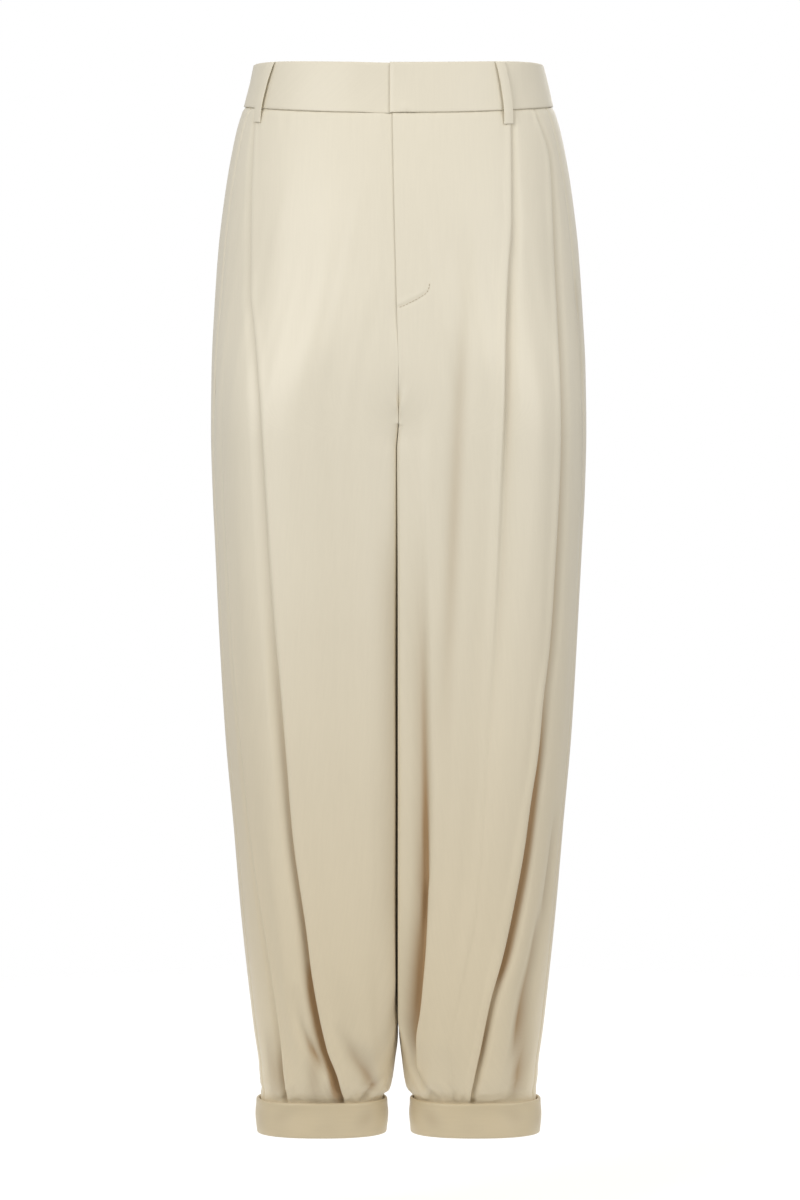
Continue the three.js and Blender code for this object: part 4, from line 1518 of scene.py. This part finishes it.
@dataclass(frozen=True)
class Cuff:
    """A turned-up cuff: a closed doubled band that stands just proud of the leg."""

    side: Side
    material: bpy.types.Material
    outer: float = 134.9
    inner: float = 11.5
    reach: float = 44.6
    square: float = 2.25
    wall: float = 2.5
    columns: int = 240
    face_rows: int = 22

    # Shares of the depth where the top edge's round ends and the lower edge's round starts
    TOP_SHARE = 0.04
    LOW_SHARE = 0.965
    # How its face swells, how its top edge rolls out, and how high the roll stands
    CROWN = 0.7
    ROLL_OUT = 0.5
    TOP_RISE = 0.4
    # Its dents and its wavy edges: waves round it and their sizes
    WAVES = ((2, 0.35), (3, 0.4), (5, 0.28), (8, 0.16), (13, 0.08))
    DENT = 1.15
    LEAN = 0.5
    EDGE_WAVE = (0.55, 0.5)
    # Its painted crease shade, which its shape doesn't have: a plain share of painted shade and what the
    # painted creases add
    CREASE = (0.12, 0.3)
    FLAT = (0.345, 0.035)

    def section(self) -> tuple[np.ndarray, np.ndarray]:
        """The cuff's cross-section, once round and not closed.

        Returns:
            Shares of the depth down from the top edge, and ways out from the outside.
        """
        share = np.linspace(self.TOP_SHARE, self.LOW_SHARE, self.face_rows)
        swell = self.CROWN * np.sin(math.pi * share) ** 0.8
        crown = swell + self.ROLL_OUT * bell((share - self.TOP_SHARE) / 0.12)
        turn = np.linspace(-math.pi / 2, math.pi / 2, 8)[1:-1]
        low_share = self.LOW_SHARE + (1 - self.LOW_SHARE) * np.cos(turn)
        top_share = self.TOP_SHARE - self.TOP_SHARE * np.cos(turn)
        low_out = -self.wall / 2 - self.wall / 2 * np.sin(turn)
        down = np.concatenate((share, low_share, share[::-1], top_share))
        inside = -self.wall * np.ones(self.face_rows)
        out = np.concatenate((crown, low_out, inside, low_out[::-1] + self.TOP_RISE))
        return down, out

    def build(self) -> bpy.types.Object:
        """Models the cuff.

        Returns:
            The finished piece.
        """
        down, out = self.section()
        minor = len(down)
        deselect()
        bpy.ops.mesh.primitive_torus_add(
            major_segments=self.columns, minor_segments=minor, major_radius=1, minor_radius=0.25
        )
        piece = bpy.context.object
        piece.name = piece.data.name = f"cuff_{self.side.word}_turn_up"
        angle = np.linspace(0, 2 * math.pi, self.columns, endpoint=False)[:, None]
        draw = np.random.default_rng(31 + self.side.value)
        dents = np.zeros_like(angle)
        edge = np.zeros_like(angle)
        for count, size in self.WAVES:
            dents = dents + size * np.sin(count * angle + draw.uniform(0, 6))
            edge = edge + size * np.sin(count * angle + draw.uniform(0, 6))
        slack = np.sin(math.pi * np.clip(down, 0, 1))[None, :]
        lean = np.sin(math.pi * down * 1.3 + angle * 2)
        outside = (out > -self.wall * 0.6)[None, :]
        dent = self.DENT * dents * slack + self.LEAN * lean * slack
        off = out[None, :] + np.where(outside, dent, 0)
        middle = (self.outer + self.inner) / 2
        reach = (self.outer - self.inner) / 2
        power = 2 / self.square
        cosine, sine = np.cos(angle), np.sin(angle)
        x = middle + (reach + off) * np.sign(cosine) * np.abs(cosine) ** power
        y = (self.reach + off) * np.sign(sine) * np.abs(sine) ** power
        fall = CUFF_TOP + (CUFF_BOTTOM - CUFF_TOP) * down[None, :]
        fall = fall + self.EDGE_WAVE[0] * edge * (1 - np.abs(2 * down[None, :] - 1))
        fall = fall + self.EDGE_WAVE[1] * edge * (1 - down[None, :]) ** 2
        z = np.broadcast_to(WAIST_TOP - fall, x.shape)
        points = np.stack((x * self.side.value, y, z), axis=-1) * MM
        piece.data.vertices.foreach_set("co", points.ravel())
        # Painted shade of soft creases on the cuff's outer face, in a pattern that its shape doesn't have
        painted_crease_shade = np.sin(3 * angle + 2.2 * down[None, :] + 1) * np.sin(7 * angle - 3 * down[None, :])
        tone = np.clip(self.CREASE[0] + self.CREASE[1] * painted_crease_shade, 0, 1)
        name_cloth_layers(piece, np.where(outside, tone * slack, 0))
        round_it = np.broadcast_to(angle * reach * 1.1, x.shape)
        lay_flat(piece, np.stack((np.broadcast_to(fall, x.shape), round_it), axis=-1).reshape(-1, 2))
        select(piece)
        bpy.ops.object.mode_set(mode="EDIT")
        bpy.ops.mesh.select_all(action="SELECT")
        bpy.ops.mesh.normals_make_consistent(inside=False)
        bpy.ops.object.mode_set(mode="OBJECT")
        soften(piece, 60)
        dress(piece, self.material, f"cuff_{self.side.word}")
        f"front_{self.side.word}_cloth"
        f"back_{self.side.word}_cloth"
        return piece


@dataclass(frozen=True)
class InnerPiece:
    """A plain piece inside: a pocket bag or the fly's facing."""

    node: str
    side: Side
    material: bpy.types.Material
    flat: tuple[float, float]
    area: float
    wall: float = 0.7

    def sheet_points(self, falls: np.ndarray) -> tuple[np.ndarray, np.ndarray]:
        """Places and lifts, rows by columns; the kinds of piece give their own."""
        raise NotImplementedError

    def rows(self) -> np.ndarray:
        """The falls of the piece's rows."""
        raise NotImplementedError

    def build(self) -> bpy.types.Object:
        """Models the piece.

        Returns:
            The finished piece.
        """
        falls = self.rows()
        places, lifts = self.sheet_points(falls)
        points, outward = FORM.at(falls, places)
        points = points + outward * lifts[..., None]
        points[..., 0] *= self.side.value
        laid = np.stack((places, np.broadcast_to(falls[:, None], places.shape)), axis=-1)
        piece = grid_piece(f"{self.node}_cloth", points, laid, np.zeros_like(places))
        turn_outwards(piece, (0.05 * self.side.value, 0, -0.2))
        thicken(piece, self.wall)
        soften(piece, 60)
        dress(piece, self.material, self.node)
        f"front_{self.side.word}_cloth"
        return piece


@dataclass(frozen=True)
class PocketBag(InnerPiece):
    """A flat bag that hangs from the side seam."""

    top: float = 62.0
    bottom: float = 372.0
    reach: float = 118.0
    round_start: float = 295.0

    # How far inside the cloth it lies, by its share of the way from the seam
    INSET = Curve((-1, -0.24, -0.05, 0.06), (12, 12, 0.8, 1.1))
    AHEAD = 0.06
    DEEP = 2.0
    WAVE = 0.6

    def rows(self) -> np.ndarray:
        """The falls of the bag's rows."""
        return np.linspace(self.top, self.bottom, 90)

    def sheet_points(self, falls: np.ndarray) -> tuple[np.ndarray, np.ndarray]:
        """Places and lifts of the bag, rows by columns."""
        part = np.linspace(-1, self.AHEAD, 48)[None, :]
        low = (falls - self.round_start) / (self.bottom - self.round_start)
        share = np.clip(low, 0, 1)[:, None]
        reach = self.reach * (0.35 + 0.65 * np.sqrt(1 - share**2))
        places = FORM.side_seam(falls)[:, None] + part * np.where(part < 0, reach, self.reach)
        wave = self.WAVE * np.sin(places / 9) * np.sin(falls[:, None] / 31)
        lifts = -self.DEEP - self.INSET.at(part) + wave * smooth(-part, 0.15, 0.4)
        return places, np.broadcast_to(lifts, places.shape)


@dataclass(frozen=True)
class FlyFacing(InnerPiece):
    """The J-shaped facing behind the left front's edge."""

    wide: float = 31.0
    least: float = 2.5
    top: float = 46.5
    curve_start: float = 196.0
    inset: float = 1.4
    deep: float = 2.9

    def rows(self) -> np.ndarray:
        """The falls of the facing's rows."""
        return np.linspace(self.top, FLY_END, 80)

    def sheet_points(self, falls: np.ndarray) -> tuple[np.ndarray, np.ndarray]:
        """Places and lifts of the facing, rows by columns."""
        low = (falls - self.curve_start) / (FLY_END - self.curve_start)
        share = np.clip(low, 0, 1)[:, None]
        width = self.least + (self.wide - self.least) * np.sqrt(1 - share**2)
        start = self.inset - ClothPanel.LAP.at(falls)[:, None]
        places = start + width * np.linspace(0, 1, 16)[None, :]
        return places, np.full_like(places, -self.deep)


@dataclass(frozen=True)
class StitchRow:
    """A row of stitches along a path of (fall, place) points on the form."""

    name: str
    path: tuple[tuple[float, float], ...]
    side: Side
    material: bpy.types.Material
    lift: float = 0.12
    long: float = 2.3
    gap: float = 0.9
    thread: float = 0.6
    steps: int = 400

    def build(self) -> bpy.types.Object:
        """Models one stitch and lays copies of it along the path.

        Returns:
            The joined row.
        """
        falls_at, places_at = curves([(i, *row) for i, row in enumerate(self.path)])
        step = np.linspace(0, len(self.path) - 1, self.steps)
        falls, places = falls_at.at(step), places_at.at(step)
        points, outward = FORM.at(falls, places[:, None])
        points, outward = points[:, 0], outward[:, 0]
        points[:, 0] *= self.side.value
        outward[:, 0] *= self.side.value
        walked = np.r_[0, np.cumsum(np.linalg.norm(np.diff(points, axis=0), axis=1))]
        count = int(walked[-1] // (self.long + self.gap))
        deselect()
        bpy.ops.mesh.primitive_uv_sphere_add(segments=8, ring_count=6, radius=1)
        stitch = bpy.context.object
        shape = np.empty(len(stitch.data.vertices) * 3)
        stitch.data.vertices.foreach_get("co", shape)
        shape = shape.reshape(-1, 3)
        copies = []
        for k in range(count):
            middle = (k + 0.5) * (self.long + self.gap)
            here = np.array([np.interp(middle, walked, points[:, axis]) for axis in range(3)])
            ahead = np.array([np.interp(middle + 0.5, walked, points[:, axis]) for axis in range(3)])
            out = np.array([np.interp(middle, walked, outward[:, axis]) for axis in range(3)])
            along = ahead - here
            along /= np.linalg.norm(along)
            beside = np.cross(out, along)
            place = here + out * self.lift
            body = (
                place
                + shape[:, :1] * along * self.long / 2
                + shape[:, 1:2] * beside * self.thread / 2
                + shape[:, 2:] * out * self.thread / 2
            )
            one = bpy.data.objects.new(f"{self.name}_{k}", stitch.data.copy())
            bpy.context.collection.objects.link(one)
            one.data.vertices.foreach_set("co", (body * MM).ravel())
            copies.append(one)
        bpy.data.objects.remove(stitch)
        deselect()
        for one in copies:
            one.select_set(True)
        bpy.context.view_layer.objects.active = copies[0]
        bpy.ops.object.join()
        row = bpy.context.view_layer.objects.active
        row.name = row.data.name = self.name
        name_cloth_layers(row)
        soften(row, 80)
        dress(row, self.material, None)
        return row


@dataclass
class Studio:
    """The floor, the light and the camera at the photograph's angle."""

    floor_height: float = -1.10
    floor_reach: float = 1.35
    floor_middle: float = 0.9
    floor_fade: float = 0.85
    floor_glow: float = 0.3
    camera_at: tuple[float, float, float] = (0.0014, -3.0, -0.493)
    lens: float = 94.24

    # Name, place, aim, size, power, colour and spread of each light
    LIGHTS = (
        ("key", (-1.6, -2.2, 0.45), (0.0, 0.0, -0.45), 1.5, 7.0, (1.0, 0.99, 0.97), 80.0),
        ("fill", (1.8, -2.2, 0.3), (0.0, 0.0, -0.45), 1.8, 6.0, (1.0, 0.985, 0.96), 80.0),
        ("behind", (0.4, 2.6, 1.4), (0.0, 0.0, -0.4), 2.2, 25.0, (1.0, 0.99, 0.97), 180.0),
    )

    def floor(self) -> bpy.types.Object:
        """A pale floor that fades out into the surroundings."""
        deselect()
        bpy.ops.mesh.primitive_circle_add(
            vertices=96,
            radius=self.floor_reach,
            fill_type="NGON",
            location=(0, self.floor_middle, self.floor_height),
        )
        floor = bpy.context.object
        floor.name = "studio_floor"
        bpy.ops.object.transform_apply(location=True, rotation=True, scale=True)
        material = bpy.data.materials.new("pale_floor")
        material.use_nodes = True
        tree = material.node_tree
        make = NodeMaker(tree)
        place = make.node("ShaderNodeTexCoord", output="Object")
        middle = (0.0, self.floor_middle, self.floor_height)
        away = make.node("ShaderNodeVectorMath", {"operation": "SUBTRACT"}, {0: place, 1: middle})
        far = make.node("ShaderNodeVectorMath", {"operation": "LENGTH"}, {0: away}, output="Value")
        shown = make.node(
            "ShaderNodeMapRange",
            {"interpolation_type": "SMOOTHSTEP"},
            {"Value": far, "From Min": self.floor_reach, "From Max": self.floor_fade},
        )
        shader = tree.nodes["Principled BSDF"]
        shader.inputs["Base Color"].default_value = (0.85, 0.85, 0.84, 1)
        shader.inputs["Emission Color"].default_value = (1, 1, 1, 1)
        shader.inputs["Emission Strength"].default_value = self.floor_glow
        shader.inputs["Roughness"].default_value = 0.9
        shader.inputs["Specular IOR Level"].default_value = 0.1
        tree.links.new(shown.socket, shader.inputs["Alpha"])
        floor.data.materials.append(material)
        return floor

    def light(
        self,
        name: str,
        place: Sequence[float],
        aim: Sequence[float],
        size: float,
        power: float,
        colour: Sequence[float],
        spread: float,
    ) -> None:
        """Adds one soft square light.

        Args:
            name: the light's name.
            place: where it stands, in metres.
            aim: the point that it looks at.
            size: its side.
            power: in watts.
            colour: its RGB colour.
            spread: how wide it shines, in degrees.
        """
        lamp = bpy.data.lights.new(name, "AREA")
        lamp.spread = math.radians(spread)
        lamp.shape = "SQUARE"
        lamp.size = size
        lamp.energy = power
        lamp.color = colour
        holder = bpy.data.objects.new(name, lamp)
        bpy.context.collection.objects.link(holder)
        holder.location = place
        way = np.array(aim, float) - np.array(place, float)
        flat = math.hypot(way[0], way[1])
        holder.rotation_euler = (
            math.atan2(flat, -way[2]),
            0.0,
            math.atan2(way[1], way[0]) - math.pi / 2,
        )

    def surroundings(self) -> None:
        """White surroundings, brighter to the eye than they light."""
        world = bpy.data.worlds.new("studio_white")
        world.use_nodes = True
        bpy.context.scene.world = world
        tree = world.node_tree
        make = NodeMaker(tree)
        tree.nodes.remove(tree.nodes["Background"])
        seen = make.node("ShaderNodeLightPath", output="Is Camera Ray")
        way = make.node("ShaderNodeTexCoord", output="Generated")
        up = make.node("ShaderNodeSeparateXYZ", {}, {0: way}, output="Z")
        bright = make.node(
            "ShaderNodeMapRange",
            {"interpolation_type": "SMOOTHSTEP"},
            {"Value": up, "From Min": -0.5, "From Max": 0.25, "To Min": 0.10, "To Max": 0.65},
        )
        soft = make.node("ShaderNodeBackground", {}, {"Color": (1, 0.985, 0.96, 1), "Strength": bright})
        white = make.node("ShaderNodeBackground", {}, {"Color": (1, 1, 1, 1), "Strength": 1.0})
        both = make.node("ShaderNodeMixShader", {}, {0: seen, 1: soft, 2: white})
        tree.links.new(both.socket, tree.nodes["World Output"].inputs["Surface"])

    def camera(self) -> None:
        """The camera, level, in front of the middle of the garment."""
        data = bpy.data.cameras.new("camera")
        data.sensor_fit = "VERTICAL"
        data.sensor_height = 36.0
        data.lens = self.lens
        holder = bpy.data.objects.new("camera", data)
        bpy.context.collection.objects.link(holder)
        holder.location = self.camera_at
        holder.rotation_euler = (math.radians(90), 0, 0)
        bpy.context.scene.camera = holder

    def build(self) -> None:
        """Sets the studio up."""
        bpy.context.scene.view_settings.view_transform = "Standard"
        self.camera()
        self.floor()
        self.surroundings()
        for light in self.LIGHTS:
            self.light(*light)


def report(piece: bpy.types.Object) -> None:
    """Logs a finished piece and its size."""
    log.info("%s: %d faces", piece.name, len(piece.data.polygons))


def main() -> None:
    """Builds every piece, then the studio."""
    logging.basicConfig(level=logging.INFO, format="%(message)s")
    # The cuffs take the darker copy of the satin, whose darker tone is painted shade
    satin, turned, pocketing, thread = (
        finish.make() for finish in (SATIN, SHADED_CUFF_SATIN, POCKETING, STITCHING_AND_GROOVE_SHADE)
    )
    left_pleats = (Anchor(5.0), INNER_PLEAT_LEFT, LOOP_PLEAT_LEFT, POCKET_PLEAT_LEFT)
    right_pleats = (Anchor(8.0), LOOP_PLEAT_RIGHT, HEM_PLEAT_RIGHT)
    back_pleats = (BACK_PLEAT, Anchor(8.0, Face.BACK))
    left_swells = (*LEFT_SWELLS, SIDE_EDGE)
    back_left_swells = (*BACK_SWELLS, SIDE_HOLLOW)
    left, right, front, back = Side.LEFT, Side.RIGHT, Face.FRONT, Face.BACK
    panels = (
        ClothPanel(left, front, satin, left_pleats, (8, 6, 26, 5, 6), left_swells, 11, LEFT_SHADES, 318),
        ClothPanel(right, front, satin, right_pleats, (10, 42, 5, 5), RIGHT_SWELLS, 23, RIGHT_SHADES),
        ClothPanel(left, back, satin, back_pleats, (36, 22, 10), back_left_swells, 37, (SIDE_SHADE,), 300),
        ClothPanel(right, back, satin, back_pleats, (36, 22, 10), BACK_SWELLS, 43, rows=300),
    )
    for panel in panels:
        report(panel.build())
    report(Waistband(satin).build())
    loops = (
        BeltLoop("belt_loop_front_left", left, front, 93.5, 102, satin, lean=0.5),
        BeltLoop("belt_loop_front_right", right, front, 118, 132, satin, lean=0.2),
        BeltLoop("belt_loop_back_left", left, back, 84, 86, satin),
        BeltLoop("belt_loop_back_right", right, back, 84, 86, satin),
        BeltLoop("belt_loop_back_centre", left, back, 0, 0, satin),
    )
    for loop in loops:
        report(loop.build())
    for side in Side:
        report(Cuff(side, turned).build())
        report(PocketBag(f"pocket_{side.word}", side, pocketing, (0.125, 0.31), 0.036).build())
    report(FlyFacing("fly_facing", left, pocketing, (0.031, 0.2), 0.0058).build())
    foot = ClothPanel.FOOT
    path = ((246.8, 0.4), *zip(foot.stops[-2:0:-1], foot.values[-2:0:-1]))
    report(StitchRow("fly_stitches", path, left, thread).build())
    Studio().build()


if __name__ == "__main__":
    main()
